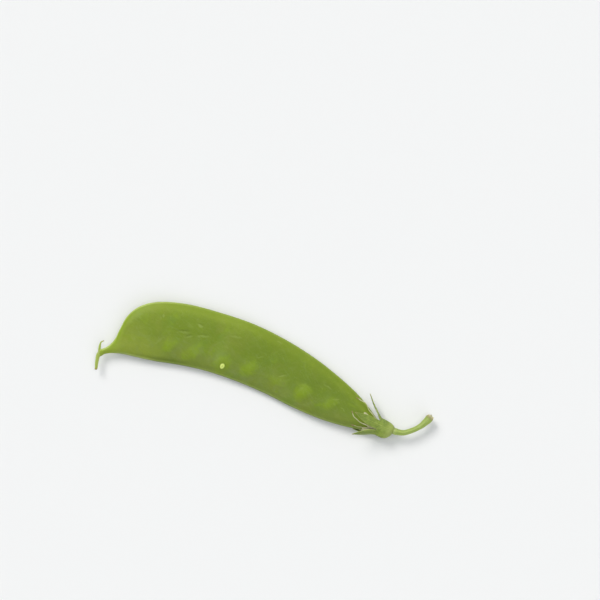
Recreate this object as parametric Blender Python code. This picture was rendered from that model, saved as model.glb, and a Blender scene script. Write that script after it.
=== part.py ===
"""A snow pea pod that lies on its side: pod, style, calyx cup, five sepals, stalk and withered filaments.

Everything is drawn in millimetres in the pod's own plane and written in metres. X runs from the beak to the
stalk, Y from the ventral suture, which carries the peas, to the dorsal suture, and Z is up from the surface that
the pod lies on. At the end the origin goes to the bottom centre of the whole object's box.
"""

import math

import bmesh
import bpy
import numpy as np
from mathutils import Matrix, Vector

MM = 0.001

# The pod's outline, from the beak's tip to the end of the neck in the calyx.
# ventral x, ventral y, dorsal x, dorsal y, half thickness
OUTLINE = np.array(
    [
        (-1.2, -2.1, -2.6, -0.7, 0.65),
        (0.7, -1.2, -0.9, 0.9, 0.85),
        (3.2, -0.5, 0.5, 3.7, 1.1),
        (5.8, -0.1, 1.2, 8.0, 1.4),
        (8.6, 0.1, 2.3, 13.0, 1.75),
        (12.2, 0.4, 5.45, 17.55, 2.05),
        (17.2, 1.0, 11.4, 21.1, 2.25),
        (24.5, 2.2, 21.0, 23.35, 2.35),
        (34.0, 3.1, 33.0, 24.05, 2.4),
        (45.0, 3.0, 45.5, 23.85, 2.4),
        (56.0, 2.05, 58.0, 22.0, 2.35),
        (67.0, 0.4, 69.5, 19.05, 2.3),
        (77.0, -0.45, 79.0, 15.6, 2.2),
        (86.0, -0.3, 87.3, 11.8, 2.0),
        (92.5, 0.5, 93.4, 7.9, 1.7),
        (96.5, 1.1, 97.0, 5.3, 1.4),
        (99.5, 1.3, 99.8, 4.5, 1.25),
    ]
)
RINGS_PER_STATION = 3
STEPS_ACROSS = 10
VENTRAL_EDGE = 0.7  # half thickness at the ventral suture, a double ridge
DORSAL_EDGE = 0.45  # half thickness at the dorsal suture

# Heights of the pod's middle plane. The belly lies on the surface, and both ends stand a little off it.
BELLY_HEIGHT = 2.25
BEAK_RISE, BEAK_RISE_ENDS = 1.3, 45.0
STALK_RISE, STALK_RISE_STARTS = 1.45, 55.0
POD_LENGTH = 100.0
TWIST_DEG = 2.5  # tilt of the width at each end, one way at the beak and the other at the stalk
TWIST_AXIS_Y = 11.0

PEA_COUNT = 7
PEA_FIRST_X, PEA_PITCH = 19.3, 9.9
PEA_FROM_VENTRAL = 6.2
PEA_SPREAD, PEA_BULGE = 2.7, 0.4

GAP = 0.3  # clearance between neighbouring pieces

# The calyx is drawn on its own axis, which starts at the middle of the cup's mouth and points to the stalk.
MOUTH = Vector((97.6, 3.15))
MOUTH_TURN_DEG = -6.0
# along the axis, shift to the dorsal side, half width, half height: outside from base to rim, then the inside
CUP_RINGS = (
    (5.4, 0.9, 1.15, 1.15),
    (4.9, 0.6, 2.0, 1.75),
    (3.9, 0.1, 2.75, 2.25),
    (2.4, -0.1, 3.15, 2.5),
    (0.9, 0.0, 3.15, 2.55),
    (0.0, 0.0, 3.1, 2.5),
    (0.0, 0.0, 2.6, 2.0),
    (1.2, 0.0, 2.6, 2.0),
    (2.6, 0.0, 2.3, 1.8),
)
CUP_SIDES = 24

SEPAL_THICKNESS = 0.45
SEPAL_ROOT = (2.85, 2.25)  # half width and half height of the ring that the sepals stand on
# name, place round the cup (0 is dorsal, 90 is up), length, width, lean at the root and added curl at the tip
SEPALS = (
    ("sepal_dorsal", 0, 9.5, 3.0, 34, 14),
    ("sepal_upper_side", 72, 10.0, 2.9, 11, 10),
    ("sepal_upper_ventral", 146, 8.5, 3.1, 20, 18),
    ("sepal_lower_ventral", 216, 8.0, 2.9, 18, 2),
    ("sepal_lower_side", 282, 8.5, 2.8, 10, -4),
)
SEPAL_STEPS_ALONG, SEPAL_STEPS_ACROSS = 12, 6
SEPAL_TIP_SHARE = 0.06  # width of the very tip, as a share of the sepal's width

# x, y, z and radius along the stalk, from the cup's base to the swollen end where it was picked
STALK_PATH = np.array(
    [
        (103.5, 3.45, 3.88, 1.2),
        (104.6, 3.4, 3.88, 1.15),
        (107.0, 4.0, 3.85, 0.98),
        (109.6, 5.8, 3.8, 0.9),
        (111.8, 8.0, 3.7, 0.98),
        (113.2, 10.2, 3.5, 1.3),
        (113.9, 11.5, 3.35, 1.35),
        (114.3, 12.3, 3.25, 1.0),
    ]
)
STALK_SIDES = 14

# x, y, z, half width and half thickness along the style, from the beak to its tip
STYLE_PATH = np.array(
    [
        (-2.15, -1.78, 3.1, 0.8, 0.6),
        (-2.8, -2.7, 3.12, 0.75, 0.55),
        (-3.3, -4.3, 3.2, 0.72, 0.5),
        (-3.25, -6.0, 3.3, 0.66, 0.45),
        (-2.95, -7.4, 3.45, 0.55, 0.4),
        (-2.6, -8.6, 3.6, 0.4, 0.32),
    ]
)
STYLE_SIDES = 12

FILAMENT_RADIUS = 0.15
FILAMENT_SIDES = 6
FILAMENT_STEPS = 4
# along the calyx's axis, place round it in degrees and distance from it, from the cup's mouth to the thread's tip
FILAMENTS = (
    ("filament_upper", ((-0.7, 112, 2.35), (-3.0, 111, 2.75), (-6.0, 107, 3.2), (-9.0, 94, 3.5), (-10.3, 74, 3.9))),
    ("filament_dorsal", ((-0.7, 33, 2.5), (-2.6, 34, 3.3), (-5.2, 33, 4.9), (-7.6, 27, 6.6), (-10.4, 24, 6.9))),
)


def smooth(rows, place):
    """The Catmull-Rom curve through rows of numbers, at a place from 0 to len(rows) - 1."""
    first = min(int(place), len(rows) - 2)
    share = place - first
    before = rows[max(first - 1, 0)]
    start, end = rows[first], rows[first + 1]
    after = rows[min(first + 2, len(rows) - 1)]
    leaving, arriving = (end - before) / 2, (after - start) / 2
    square, cube = share**2, share**3
    return (
        start * (2 * cube - 3 * square + 1)
        + leaving * (cube - 2 * square + share)
        + end * (3 * square - 2 * cube)
        + arriving * (cube - square)
    )


def places(rows, steps):
    """Even places along rows, steps to each stretch, both ends included."""
    return np.linspace(0, len(rows) - 1, (len(rows) - 1) * steps + 1)


def middle_height(x, y):
    """Height of the pod's middle plane: flat at the belly, rising to both ends and a little twisted."""
    beak = BEAK_RISE * max(0.0, 1 - x / BEAK_RISE_ENDS) ** 2
    stalk = STALK_RISE * max(0.0, (x - STALK_RISE_STARTS) / (POD_LENGTH - STALK_RISE_STARTS)) ** 2
    tilt = math.tan(math.radians(TWIST_DEG)) * (2 * x / POD_LENGTH - 1)
    return BELLY_HEIGHT + beak + stalk - tilt * (y - TWIST_AXIS_Y)


def pea_bulge(x, y, ventral_y):
    """How far the peas inside push the valve out at a point."""
    bulge = 0.0
    for n in range(PEA_COUNT):
        away = math.hypot(x - (PEA_FIRST_X + n * PEA_PITCH), y - ventral_y - PEA_FROM_VENTRAL)
        bulge += PEA_BULGE * math.exp(-((away / PEA_SPREAD) ** 2))
    return bulge


def valve_rise(across):
    """Rise of a valve over its edges, from 0 at the sutures to 1 in the middle: a lens with a flat middle."""
    return (1 - abs(2 * across - 1) ** 2.4) ** 0.7


def pod_ring(place):
    """One ring round the pod: the upper valve from ventral to dorsal, and the lower valve back."""
    ventral_x, ventral_y, dorsal_x, dorsal_y, half = smooth(OUTLINE, place)
    ring = []
    for side in (1, -1):
        for step in range(STEPS_ACROSS + 1):
            across = step / STEPS_ACROSS if side > 0 else 1 - step / STEPS_ACROSS
            x = ventral_x + (dorsal_x - ventral_x) * across
            y = ventral_y + (dorsal_y - ventral_y) * across
            edge = min(half, VENTRAL_EDGE + (DORSAL_EDGE - VENTRAL_EDGE) * across)
            thick = edge + (half - edge) * valve_rise(across) + pea_bulge(x, y, ventral_y)
            # The soft wall lies flat where it meets the surface below.
            ring.append(Vector((x, y, max(0.0, middle_height(x, y) + side * thick))))
    return ring


def oval_ring(centre, across, up, half_width, half_height, sides):
    """A ring of points on an oval, whose half axes lie along two directions."""
    ring = []
    for n in range(sides):
        angle = 2 * math.pi * n / sides
        ring.append(centre + across * (half_width * math.cos(angle)) + up * (half_height * math.sin(angle)))
    return ring


def tube_rings(path, steps, sides):
    """Rings along a path of x, y, z, half width and half height rows, square to the way it runs."""
    rings = []
    for place in places(path, steps):
        row = smooth(path, place)
        nearby = 0.01
        back = smooth(path, max(0.0, place - nearby))
        on = smooth(path, min(len(path) - 1.0, place + nearby))
        heading = Vector(on[:3] - back[:3]).normalized()
        across = Vector((0, 0, 1)).cross(heading).normalized()
        up = heading.cross(across)
        rings.append(oval_ring(Vector(row[:3]), across, up, row[3], row[4], sides))
    return rings


def calyx_point(along, dorsal, up):
    """A point given on the calyx's own axis, in the pod's millimetres."""
    turn = math.radians(MOUTH_TURN_DEG)
    x = MOUTH.x + along * math.cos(turn) - dorsal * math.sin(turn)
    y = MOUTH.y + along * math.sin(turn) + dorsal * math.cos(turn)
    return Vector((x, y, middle_height(MOUTH.x, MOUTH.y) + up))


def sepal_points(round_deg, length, width, lean_deg, curl_deg):
    """Rows of points across a sepal's middle surface, from the cup's rim to the tip, curved round the pod."""
    round_angle = math.radians(round_deg)
    outward = (math.cos(round_angle), math.sin(round_angle))
    sideways = (-math.sin(round_angle), math.cos(round_angle))
    along = -GAP - SEPAL_THICKNESS / 4
    radial = math.hypot(SEPAL_ROOT[0] * outward[0], SEPAL_ROOT[1] * outward[1])
    step = length / SEPAL_STEPS_ALONG
    rows = []
    for n in range(SEPAL_STEPS_ALONG + 1):
        share = n / SEPAL_STEPS_ALONG
        half = width / 2 * max(SEPAL_TIP_SHARE, math.sin(math.pi * (0.3 + 0.7 * share)))
        row = []
        for m in range(SEPAL_STEPS_ACROSS + 1):
            aside = half * (2 * m / SEPAL_STEPS_ACROSS - 1)
            wrap = radial - aside**2 / (2 * (radial + length * share))
            row.append(
                calyx_point(
                    along,
                    outward[0] * wrap + sideways[0] * aside,
                    outward[1] * wrap + sideways[1] * aside,
                )
            )
        rows.append(row)
        lean = math.radians(lean_deg + curl_deg * share)
        along -= step * math.cos(lean)
        radial += step * math.sin(lean)
    return rows


def make_material(name, colour, roughness):
    """A plain Principled material for one kind of plant tissue."""
    material = bpy.data.materials.new(name)
    material.use_nodes = True
    shader = material.node_tree.nodes["Principled BSDF"]
    shader.inputs["Base Color"].default_value = (*colour, 1)
    shader.inputs["Roughness"].default_value = roughness
    shader.inputs["Metallic"].default_value = 0
    return material


def add_object(name, shape, material):
    """Links a bmesh drawn in millimetres as an object in metres, shaded smooth."""
    bmesh.ops.recalc_face_normals(shape, faces=shape.faces)
    bmesh.ops.transform(shape, matrix=Matrix.Scale(MM, 4), verts=shape.verts)
    mesh = bpy.data.meshes.new(name)
    shape.to_mesh(mesh)
    shape.free()
    mesh.materials.append(material)
    mesh.shade_smooth()
    made = bpy.data.objects.new(name, mesh)
    bpy.context.scene.collection.objects.link(made)
    return made


def loft(name, rings, material):
    """A closed solid through rings of equally many points, capped at both ends."""
    shape = bmesh.new()
    made = [[shape.verts.new(point) for point in ring] for ring in rings]
    for near, far in zip(made, made[1:]):
        for n in range(len(near)):
            m = (n + 1) % len(near)
            shape.faces.new((near[n], near[m], far[m], far[n]))
    shape.faces.new(reversed(made[0]))
    shape.faces.new(made[-1])
    return add_object(name, shape, material)


def make_pod(material):
    """The pod: two flat valves joined along the sutures, with its beak and its neck."""
    return loft("pod", [pod_ring(place) for place in places(OUTLINE, RINGS_PER_STATION)], material)


def make_cup(material):
    """The calyx cup: a thin bell, humped on the ventral side, that the pod's neck stands in."""
    across = calyx_point(0, 1, 0) - calyx_point(0, 0, 0)
    rings = []
    for along, shift, half_width, half_height in CUP_RINGS:
        centre = calyx_point(along, shift, 0)
        rings.append(oval_ring(centre, across, Vector((0, 0, 1)), half_width, half_height, CUP_SIDES))
    return loft("calyx_cup", rings, material)


def make_sepal(name, shape_values, material):
    """One pointed sepal: a curved sheet made solid to both sides."""
    shape = bmesh.new()
    rows = [[shape.verts.new(point) for point in row] for row in sepal_points(*shape_values)]
    for near, far in zip(rows, rows[1:]):
        for n in range(SEPAL_STEPS_ACROSS):
            shape.faces.new((near[n], near[n + 1], far[n + 1], far[n]))
    made = add_object(name, shape, material)
    solidify = made.modifiers.new("thickness", "SOLIDIFY")
    solidify.thickness = SEPAL_THICKNESS * MM
    solidify.offset = 0
    return made


def make_stalk(material):
    """The stalk: round, bent to the dorsal side, with a swollen end."""
    path = np.column_stack([STALK_PATH, STALK_PATH[:, 3]])
    return loft("stalk", tube_rings(path, 3, STALK_SIDES), material)


def make_style(material):
    """The style: a flattened thread bent down from the beak."""
    return loft("style", tube_rings(STYLE_PATH, 3, STYLE_SIDES), material)


def make_filament(name, points, material):
    """One withered filament: a fine round thread."""
    path = []
    for along, round_deg, away in points:
        angle = math.radians(round_deg)
        point = calyx_point(along, away * math.cos(angle), away * math.sin(angle))
        path.append((*point, FILAMENT_RADIUS, FILAMENT_RADIUS))
    path = np.array(path)
    return loft(name, tube_rings(path, FILAMENT_STEPS, FILAMENT_SIDES), material)


def centre_on_base(objects):
    """Moves the objects together so that the origin is at the bottom centre of their common box."""
    bpy.context.view_layer.update()
    corners = [made.matrix_world @ vertex.co for made in objects for vertex in made.data.vertices]
    low = Vector(map(min, *corners))
    high = Vector(map(max, *corners))
    base = Vector(((low.x + high.x) / 2, (low.y + high.y) / 2, low.z))
    for made in objects:
        made.location -= base


def main():
    for old in list(bpy.data.objects):
        bpy.data.objects.remove(old)
    skin = make_material("pod_skin", (0.2, 0.28, 0.042), 0.5)
    calyx_green = make_material("calyx_green", (0.26, 0.35, 0.06), 0.6)
    stalk_green = make_material("stalk_green", (0.38, 0.47, 0.12), 0.55)
    style_green = make_material("style_green", (0.38, 0.46, 0.12), 0.6)
    dry_thread = make_material("dry_thread", (0.5, 0.5, 0.22), 0.7)
    made = [make_pod(skin), make_style(style_green), make_cup(calyx_green), make_stalk(stalk_green)]
    for name, *shape_values in SEPALS:
        made.append(make_sepal(name, shape_values, calyx_green))
    for name, points in FILAMENTS:
        made.append(make_filament(name, points, dry_thread))
    centre_on_base(made)


main()
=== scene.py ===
"""A snow pea pod on its side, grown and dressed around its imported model.

Shapes are drawn in millimetres in the pod's own plane: X runs from the beak to the stalk, Y from the ventral
suture, which carries the peas, to the dorsal suture, and Z is up from the table. The bench then lays the
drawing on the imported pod.
"""

import logging
import math
import sys
from collections.abc import Callable, Mapping, Sequence
from dataclasses import dataclass, field
from enum import Enum

import bmesh
import bpy
import numpy as np
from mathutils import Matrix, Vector


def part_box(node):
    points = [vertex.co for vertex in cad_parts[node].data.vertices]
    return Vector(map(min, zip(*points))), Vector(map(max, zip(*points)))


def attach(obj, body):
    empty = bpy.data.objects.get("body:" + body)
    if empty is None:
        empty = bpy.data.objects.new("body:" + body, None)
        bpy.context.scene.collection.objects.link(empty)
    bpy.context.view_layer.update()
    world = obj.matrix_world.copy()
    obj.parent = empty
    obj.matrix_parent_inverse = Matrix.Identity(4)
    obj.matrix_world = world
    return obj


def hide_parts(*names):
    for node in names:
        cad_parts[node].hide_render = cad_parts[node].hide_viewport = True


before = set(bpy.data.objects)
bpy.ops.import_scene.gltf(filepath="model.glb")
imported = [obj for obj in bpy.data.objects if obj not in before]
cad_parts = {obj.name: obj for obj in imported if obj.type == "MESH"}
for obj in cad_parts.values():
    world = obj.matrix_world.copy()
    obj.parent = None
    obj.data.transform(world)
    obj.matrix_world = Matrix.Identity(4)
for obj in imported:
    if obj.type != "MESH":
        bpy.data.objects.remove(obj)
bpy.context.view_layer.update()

LOG = logging.getLogger("snow_pea")
MM = 0.001
FULL_TURN = 2 * math.pi
UP = np.array([0.0, 0.0, 1.0])
Array = np.ndarray
Colour = tuple[float, float, float]

# The pod's outline, from the beak's tip to the end of the neck in the calyx:
# ventral x, ventral y, dorsal x, dorsal y, half thickness.
OUTLINE = np.array(
    [
        (-1.2, -2.1, -2.6, -0.7, 0.65),
        (0.7, -1.2, -0.9, 0.9, 0.85),
        (3.2, -0.5, 0.5, 3.7, 1.1),
        (5.8, -0.1, 1.2, 8.0, 1.4),
        (8.6, 0.1, 2.3, 13.0, 1.75),
        (12.2, 0.4, 5.45, 17.55, 2.05),
        (17.2, 1.0, 11.4, 21.1, 2.25),
        (24.5, 2.2, 21.0, 23.35, 2.35),
        (34.0, 3.1, 33.0, 24.05, 2.4),
        (45.0, 3.0, 45.5, 23.85, 2.4),
        (56.0, 2.05, 58.0, 22.0, 2.35),
        (67.0, 0.4, 69.5, 19.05, 2.3),
        (77.0, -0.45, 79.0, 15.6, 2.2),
        (86.0, -0.3, 87.3, 11.8, 2.0),
        (92.5, 0.5, 93.4, 7.9, 1.7),
        (96.5, 1.1, 97.0, 5.3, 1.4),
        (99.5, 1.3, 99.8, 4.5, 1.25),
    ]
)
# The last of the beak, which widens into the foot of the style.
BEAK_TIP = np.array([(-2.5, -3.45, -3.35, -1.5, 0.5), (-2.0, -3.0, -3.15, -0.85, 0.58)])
POD_LENGTH = 100.0


class Slot(Enum):
    """The material slots."""

    SKIN = "pod_skin"
    CALYX = "calyx_green"
    STALK = "stalk_green"
    STYLE = "style_green"
    THREAD = "dry_thread"


class Seed(Enum):
    """Which set of waves or draws each thing has."""

    UPPER_VALVE = 3
    LOWER_VALVE = 5
    FIBRES = 8
    STYLE = 11
    STALK = 21
    TORN_SHIFT = 31
    TORN_PULL = 32
    SHEATH_EDGE = 41
    SHEATH_TEETH = 42
    SHEATH_FOLDS = 43


class Cell(Enum):
    """What a pattern of cells is measured from."""

    CENTRE = "F1"
    EDGE = "DISTANCE_TO_EDGE"


class Sum(Enum):
    """Arithmetic that nodes can do on two sockets."""

    PLUS = "ADD"
    MINUS = "SUBTRACT"
    TIMES = "MULTIPLY"
    OVER = "DIVIDE"


# ---------------------------------------------------------------- shapes


def table(*rows: tuple[float, ...]) -> Array:
    """A dataclass field that holds a table of numbers, one row for each station."""
    return field(default_factory=lambda: np.array(rows))


def unit(vector: Array) -> Array:
    """A vector's direction."""
    return vector / np.linalg.norm(vector)


def linked(name: str, data: bpy.types.ID) -> bpy.types.Object:
    """Puts a new object in the scene.

    Args:
        name: its name.
        data: its mesh, light or camera.

    Returns:
        The object.
    """
    made = bpy.data.objects.new(name, data)
    bpy.context.scene.collection.objects.link(made)
    return made


def smooth(rows: Array, places: Array) -> Array:
    """The Catmull-Rom curve through rows of numbers.

    Args:
        rows: one row of numbers for each station.
        places: where to read the curve, from 0 to the number of rows less one.

    Returns:
        One row of numbers for each place.
    """
    first = np.clip(places.astype(int), 0, len(rows) - 2)
    share = (places - first)[:, None]
    start, end = rows[first], rows[first + 1]
    leaving = (end - rows[np.maximum(first - 1, 0)]) / 2
    arriving = (rows[np.minimum(first + 2, len(rows) - 1)] - start) / 2
    square, cube = share**2, share**3
    return (
        start * (2 * cube - 3 * square + 1)
        + leaving * (cube - 2 * square + share)
        + end * (3 * square - 2 * cube)
        + arriving * (cube - square)
    )


def even_places(rows: Array, count: int, columns: Sequence[int]) -> Array:
    """Places along a curve that are the same distance apart.

    Args:
        rows: the curve's stations.
        count: how many places.
        columns: the columns of rows that hold the position.

    Returns:
        The places, both ends included.
    """
    steps_per_row = 40
    fine = np.linspace(0, len(rows) - 1, steps_per_row * len(rows))
    points = smooth(rows, fine)[:, list(columns)]
    run = np.concatenate([[0.0], np.cumsum(np.linalg.norm(np.diff(points, axis=0), axis=1))])
    return np.interp(np.linspace(0, run[-1], count), run, fine)


def ease(low: float, high: float, value: Array) -> Array:
    """A soft step of value, from 0 at low to 1 at high."""
    share = np.clip((value - low) / (high - low), 0, 1)
    return share * share * (3 - 2 * share)


def hump(value: Array, centre: float, spread: float) -> Array:
    """A bell curve of value, 1 at its centre."""
    return np.exp(-(((value - centre) / spread) ** 2))


def ripple(x: Array, y: Array, seed: Seed, wave: float) -> Array:
    """Gentle waves that never line up, between about -1 and 1.

    Args:
        x: positions, in any unit.
        y: positions, in the same unit.
        seed: which set of waves.
        wave: the usual length of a wave, in that unit.

    Returns:
        The height of the waves at each position.
    """
    draw = np.random.default_rng(seed.value)
    total = np.zeros(np.broadcast(x, y).shape)
    waves = 7
    for _ in range(waves):
        turn, phase = draw.uniform(0, FULL_TURN, 2)
        pace = FULL_TURN / (wave * draw.uniform(0.6, 1.7))
        total += np.sin(pace * (x * math.cos(turn) + y * math.sin(turn)) + phase)
    return total / (waves / 2)


def oval(right: Array, over: Array, turn: float, stretch: float) -> Array:
    """Distance from an oval's middle in its width's terms, for places right of it and over it."""
    cos, sin = math.cos(math.radians(turn)), math.sin(math.radians(turn))
    return np.hypot((right * cos + over * sin) / stretch, over * cos - right * sin)


@dataclass(frozen=True)
class Blister:
    """A small pale blister on the upper valve."""

    x: float = 39.25
    y: float = 6.5
    radius: float = 0.79
    stretch: float = 1.32
    turn: float = 76.0
    height: float = 0.2

    def dome(self, x: Array, y: Array) -> Array:
        """How far it lifts the skin at places in the drawing."""
        away = oval(x - self.x, y - self.y, self.turn, self.stretch) / self.radius
        return self.height * hump(away, 0.0, 0.8)


@dataclass
class Patch:
    """A stretch of surface in the drawing: points, faces, and what its finish needs to know at each point."""

    points: Array
    faces: list[tuple[int, ...]]
    values: dict[str, Array]

    @classmethod
    def grid(
        cls, points: Array, values: Mapping[str, Array], ring: bool = True, capped: bool = True
    ) -> "Patch":
        """A patch woven over rows of points.

        Args:
            points: rows by columns by 3.
            values: what the finish reads, each rows by columns, or rows by columns by 3.
            ring: whether each row closes on itself.
            capped: whether the first and last rows are closed with a face.

        Returns:
            The patch.
        """
        rows, columns = points.shape[:2]
        index = np.arange(rows * columns).reshape(rows, columns)
        faces = cls.weave(index, ring)
        if capped:
            faces += [tuple(index[0][::-1].tolist()), tuple(index[-1].tolist())]
        flat = {name: value.reshape(rows * columns, *value.shape[2:]) for name, value in values.items()}
        return cls(points.reshape(-1, 3), faces, flat)

    @staticmethod
    def weave(index: Array, ring: bool) -> list[tuple[int, ...]]:
        """Four-sided faces between the rows of a table of point numbers.

        Args:
            index: the numbers, rows by columns.
            ring: whether each row closes on itself.

        Returns:
            The faces.
        """
        here = index if ring else index[:, :-1]
        beside = np.roll(index, -1, axis=1) if ring else index[:, 1:]
        corners = np.stack([here[:-1], beside[:-1], beside[1:], here[1:]], axis=-1)
        return [tuple(face) for face in corners.reshape(-1, 4).tolist()]

    @classmethod
    def joined(cls, patches: Sequence["Patch"]) -> "Patch":
        """Several patches as one.

        Args:
            patches: the patches, all with the same values.

        Returns:
            The joined patch.
        """
        faces: list[tuple[int, ...]] = []
        offset = 0
        for patch in patches:
            faces += [tuple(n + offset for n in face) for face in patch.faces]
            offset += len(patch.points)
        names = patches[0].values
        values = {name: np.concatenate([patch.values[name] for patch in patches]) for name in names}
        return cls(np.concatenate([patch.points for patch in patches]), faces, values)


@dataclass(frozen=True)
class Bench:
    """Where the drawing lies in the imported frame, and how pieces are set down there."""

    shift: Array

    @classmethod
    def under_the_pod(cls) -> "Bench":
        """The bench on which the drawn outline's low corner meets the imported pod's."""
        drawn = np.array([OUTLINE[:, (0, 2)].min(), OUTLINE[:, (1, 3)].min(), 0.0])
        return cls(np.array(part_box("pod")[0]) / MM - drawn)

    def place(self, points: Array) -> Array:
        """Drawn millimetres as metres in the frame."""
        return (points + self.shift) * MM

    def set_down(
        self, name: str, patch: Patch, finish: bpy.types.Material, slot: Slot, nodes: Sequence[str]
    ) -> bpy.types.Object:
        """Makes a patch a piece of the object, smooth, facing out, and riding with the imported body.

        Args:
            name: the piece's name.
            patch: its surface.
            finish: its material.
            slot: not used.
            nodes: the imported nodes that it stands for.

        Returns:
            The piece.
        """
        mesh = bpy.data.meshes.new(name)
        mesh.from_pydata(self.place(patch.points).tolist(), [], patch.faces)
        for label, value in patch.values.items():
            kind, holds = ("FLOAT_VECTOR", "vector") if value.ndim == 2 else ("FLOAT", "value")
            layer = mesh.attributes.new(label, kind, "POINT")
            layer.data.foreach_set(holds, np.ascontiguousarray(value, np.float32).ravel())
        work = bmesh.new()
        work.from_mesh(mesh)
        bmesh.ops.recalc_face_normals(work, faces=work.faces)
        work.to_mesh(mesh)
        work.free()
        mesh.shade_smooth()
        mesh.materials.append(finish)
        piece = linked(name, mesh)
        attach(piece, "root")
        if nodes:
            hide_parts(*nodes)
        stood_for = ", ".join(nodes) or "no packed node"
        LOG.info("%s: %d faces, stands for %s", name, len(mesh.polygons), stood_for)
        return piece


@dataclass(frozen=True)
class Tube:
    """A round-ended tube along a path of x, y, z, half width and half height."""

    path: Array
    rings: int
    sides: int
    dome: tuple[float, float] = (1.0, 1.0)
    dome_rings: int = 5

    def frames(self) -> tuple[Array, Array, Array, Array]:
        """Centres, sideways and upward directions, and half axes, with the ends' domes.

        Returns:
            Four arrays with one row for each ring; the last holds half width and half height.
        """
        places = even_places(self.path, self.rings, (0, 1, 2))
        rows = smooth(self.path, places)
        near, narrowest = 0.02, 0.04
        back = smooth(self.path, np.maximum(places - near, 0))[:, :3]
        on = smooth(self.path, np.minimum(places + near, len(self.path) - 1.0))[:, :3]
        heading = (on - back) / np.linalg.norm(on - back, axis=1)[:, None]
        centre, half = rows[:, :3], rows[:, 3:5]
        angles = np.linspace(math.pi / 2, 0, self.dome_rings + 1)[:-1]
        start = centre[0] - heading[0] * (np.sin(angles) * half[0].mean() * self.dome[0])[:, None]
        end = centre[-1] + heading[-1] * (np.sin(angles[::-1]) * half[-1].mean() * self.dome[1])[:, None]
        shrink = np.maximum(np.cos(angles), narrowest)[:, None]
        centre = np.concatenate([start, centre, end])
        half = np.concatenate([half[0] * shrink, half, half[-1] * shrink[::-1]])
        heading = np.pad(heading, ((len(angles), len(angles)), (0, 0)), mode="edge")
        across = np.cross(UP, heading)
        across /= np.linalg.norm(across, axis=1)[:, None]
        return centre, across, np.cross(heading, across), half

    def patch(
        self,
        relief: Callable[[Array, Array], Array] | None = None,
        tip: float = 0.0,
        wobble: Array | float = 0.0,
    ) -> Patch:
        """The tube's surface, with values for its finish.

        Args:
            relief: a factor on the radius, from the run along the tube in mm and the angle round it.
            tip: what the finish's value named tip holds, on all of the tube.
            wobble: a shift of each ring's centre.

        Returns:
            The patch, with values named run (mm along, angle round, mm to the end) and tip.
        """
        centre, across, up, half = self.frames()
        centre = centre + wobble
        run = np.concatenate([[0.0], np.cumsum(np.linalg.norm(np.diff(centre, axis=0), axis=1))])
        angle = np.linspace(0, FULL_TURN, self.sides, endpoint=False)
        along, round_it = run[:, None], angle[None, :]
        factor = relief(along, round_it) if relief else np.ones((len(run), self.sides))
        points = (
            centre[:, None]
            + across[:, None] * (half[:, :1] * factor * np.cos(round_it))[..., None]
            + up[:, None] * (half[:, 1:] * factor * np.sin(round_it))[..., None]
        )
        shape = (len(run), self.sides)
        told = [np.broadcast_to(value, shape) for value in (along, round_it, run[-1] - along)]
        return Patch.grid(points, {"run": np.stack(told, axis=-1), "tip": np.full(shape, tip)})


# ---------------------------------------------------------------- finishes

Feed = "Flow | float | Sequence[float]"


class Flow:
    """One socket of a material, with arithmetic that adds its nodes."""

    def __init__(self, paint: "Paint", socket: bpy.types.NodeSocket) -> None:
        """Wraps a socket of a paint's node tree."""
        self.paint = paint
        self.socket = socket

    def __add__(self, other: Feed) -> "Flow":
        """self + other."""
        return self.paint.combine(Sum.PLUS, self, other)

    def __radd__(self, other: Feed) -> "Flow":
        """other + self."""
        return self.paint.combine(Sum.PLUS, other, self)

    def __sub__(self, other: Feed) -> "Flow":
        """self - other."""
        return self.paint.combine(Sum.MINUS, self, other)

    def __rsub__(self, other: Feed) -> "Flow":
        """other - self."""
        return self.paint.combine(Sum.MINUS, other, self)

    def __mul__(self, other: Feed) -> "Flow":
        """self * other."""
        return self.paint.combine(Sum.TIMES, self, other)

    def __rmul__(self, other: Feed) -> "Flow":
        """other * self."""
        return self.paint.combine(Sum.TIMES, other, self)

    def __truediv__(self, other: Feed) -> "Flow":
        """self / other."""
        return self.paint.combine(Sum.OVER, self, other)

    def __rtruediv__(self, other: Feed) -> "Flow":
        """other / self."""
        return self.paint.combine(Sum.OVER, other, self)

    def __abs__(self) -> "Flow":
        """The size of self, without its sign."""
        return self.paint.node("ShaderNodeMath", {"operation": "ABSOLUTE"}, {0: self})

    def cosine(self) -> "Flow":
        """The cosine of self, an angle in radians."""
        return self.paint.node("ShaderNodeMath", {"operation": "COSINE"}, {0: self})

    def step(self, low: float, high: float) -> "Flow":
        """A soft step of self.

        Args:
            low: where the step is 0.
            high: where it is 1, which may be below low.

        Returns:
            The step.
        """
        inputs = {"Value": self, "From Min": low, "From Max": high, "To Min": 0.0, "To Max": 1.0}
        if low > high:
            inputs.update({"From Min": high, "From Max": low, "To Min": 1.0, "To Max": 0.0})
        return self.paint.node("ShaderNodeMapRange", {"interpolation_type": "SMOOTHSTEP"}, inputs)

    def parts(self) -> tuple["Flow", "Flow", "Flow"]:
        """A vector's X, Y and Z."""
        x = self.paint.node("ShaderNodeSeparateXYZ", {}, {0: self}, "X")
        return x, *(Flow(self.paint, x.socket.node.outputs[name]) for name in ("Y", "Z"))

    def length(self) -> "Flow":
        """A vector's length."""
        return self.paint.node("ShaderNodeVectorMath", {"operation": "LENGTH"}, {0: self}, "Value")

    def turned(self, degrees: float) -> "Flow":
        """A vector turned about Z."""
        inputs = {"Vector": self, "Angle": math.radians(degrees)}
        return self.paint.node("ShaderNodeVectorRotate", {"rotation_type": "Z_AXIS"}, inputs)


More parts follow.
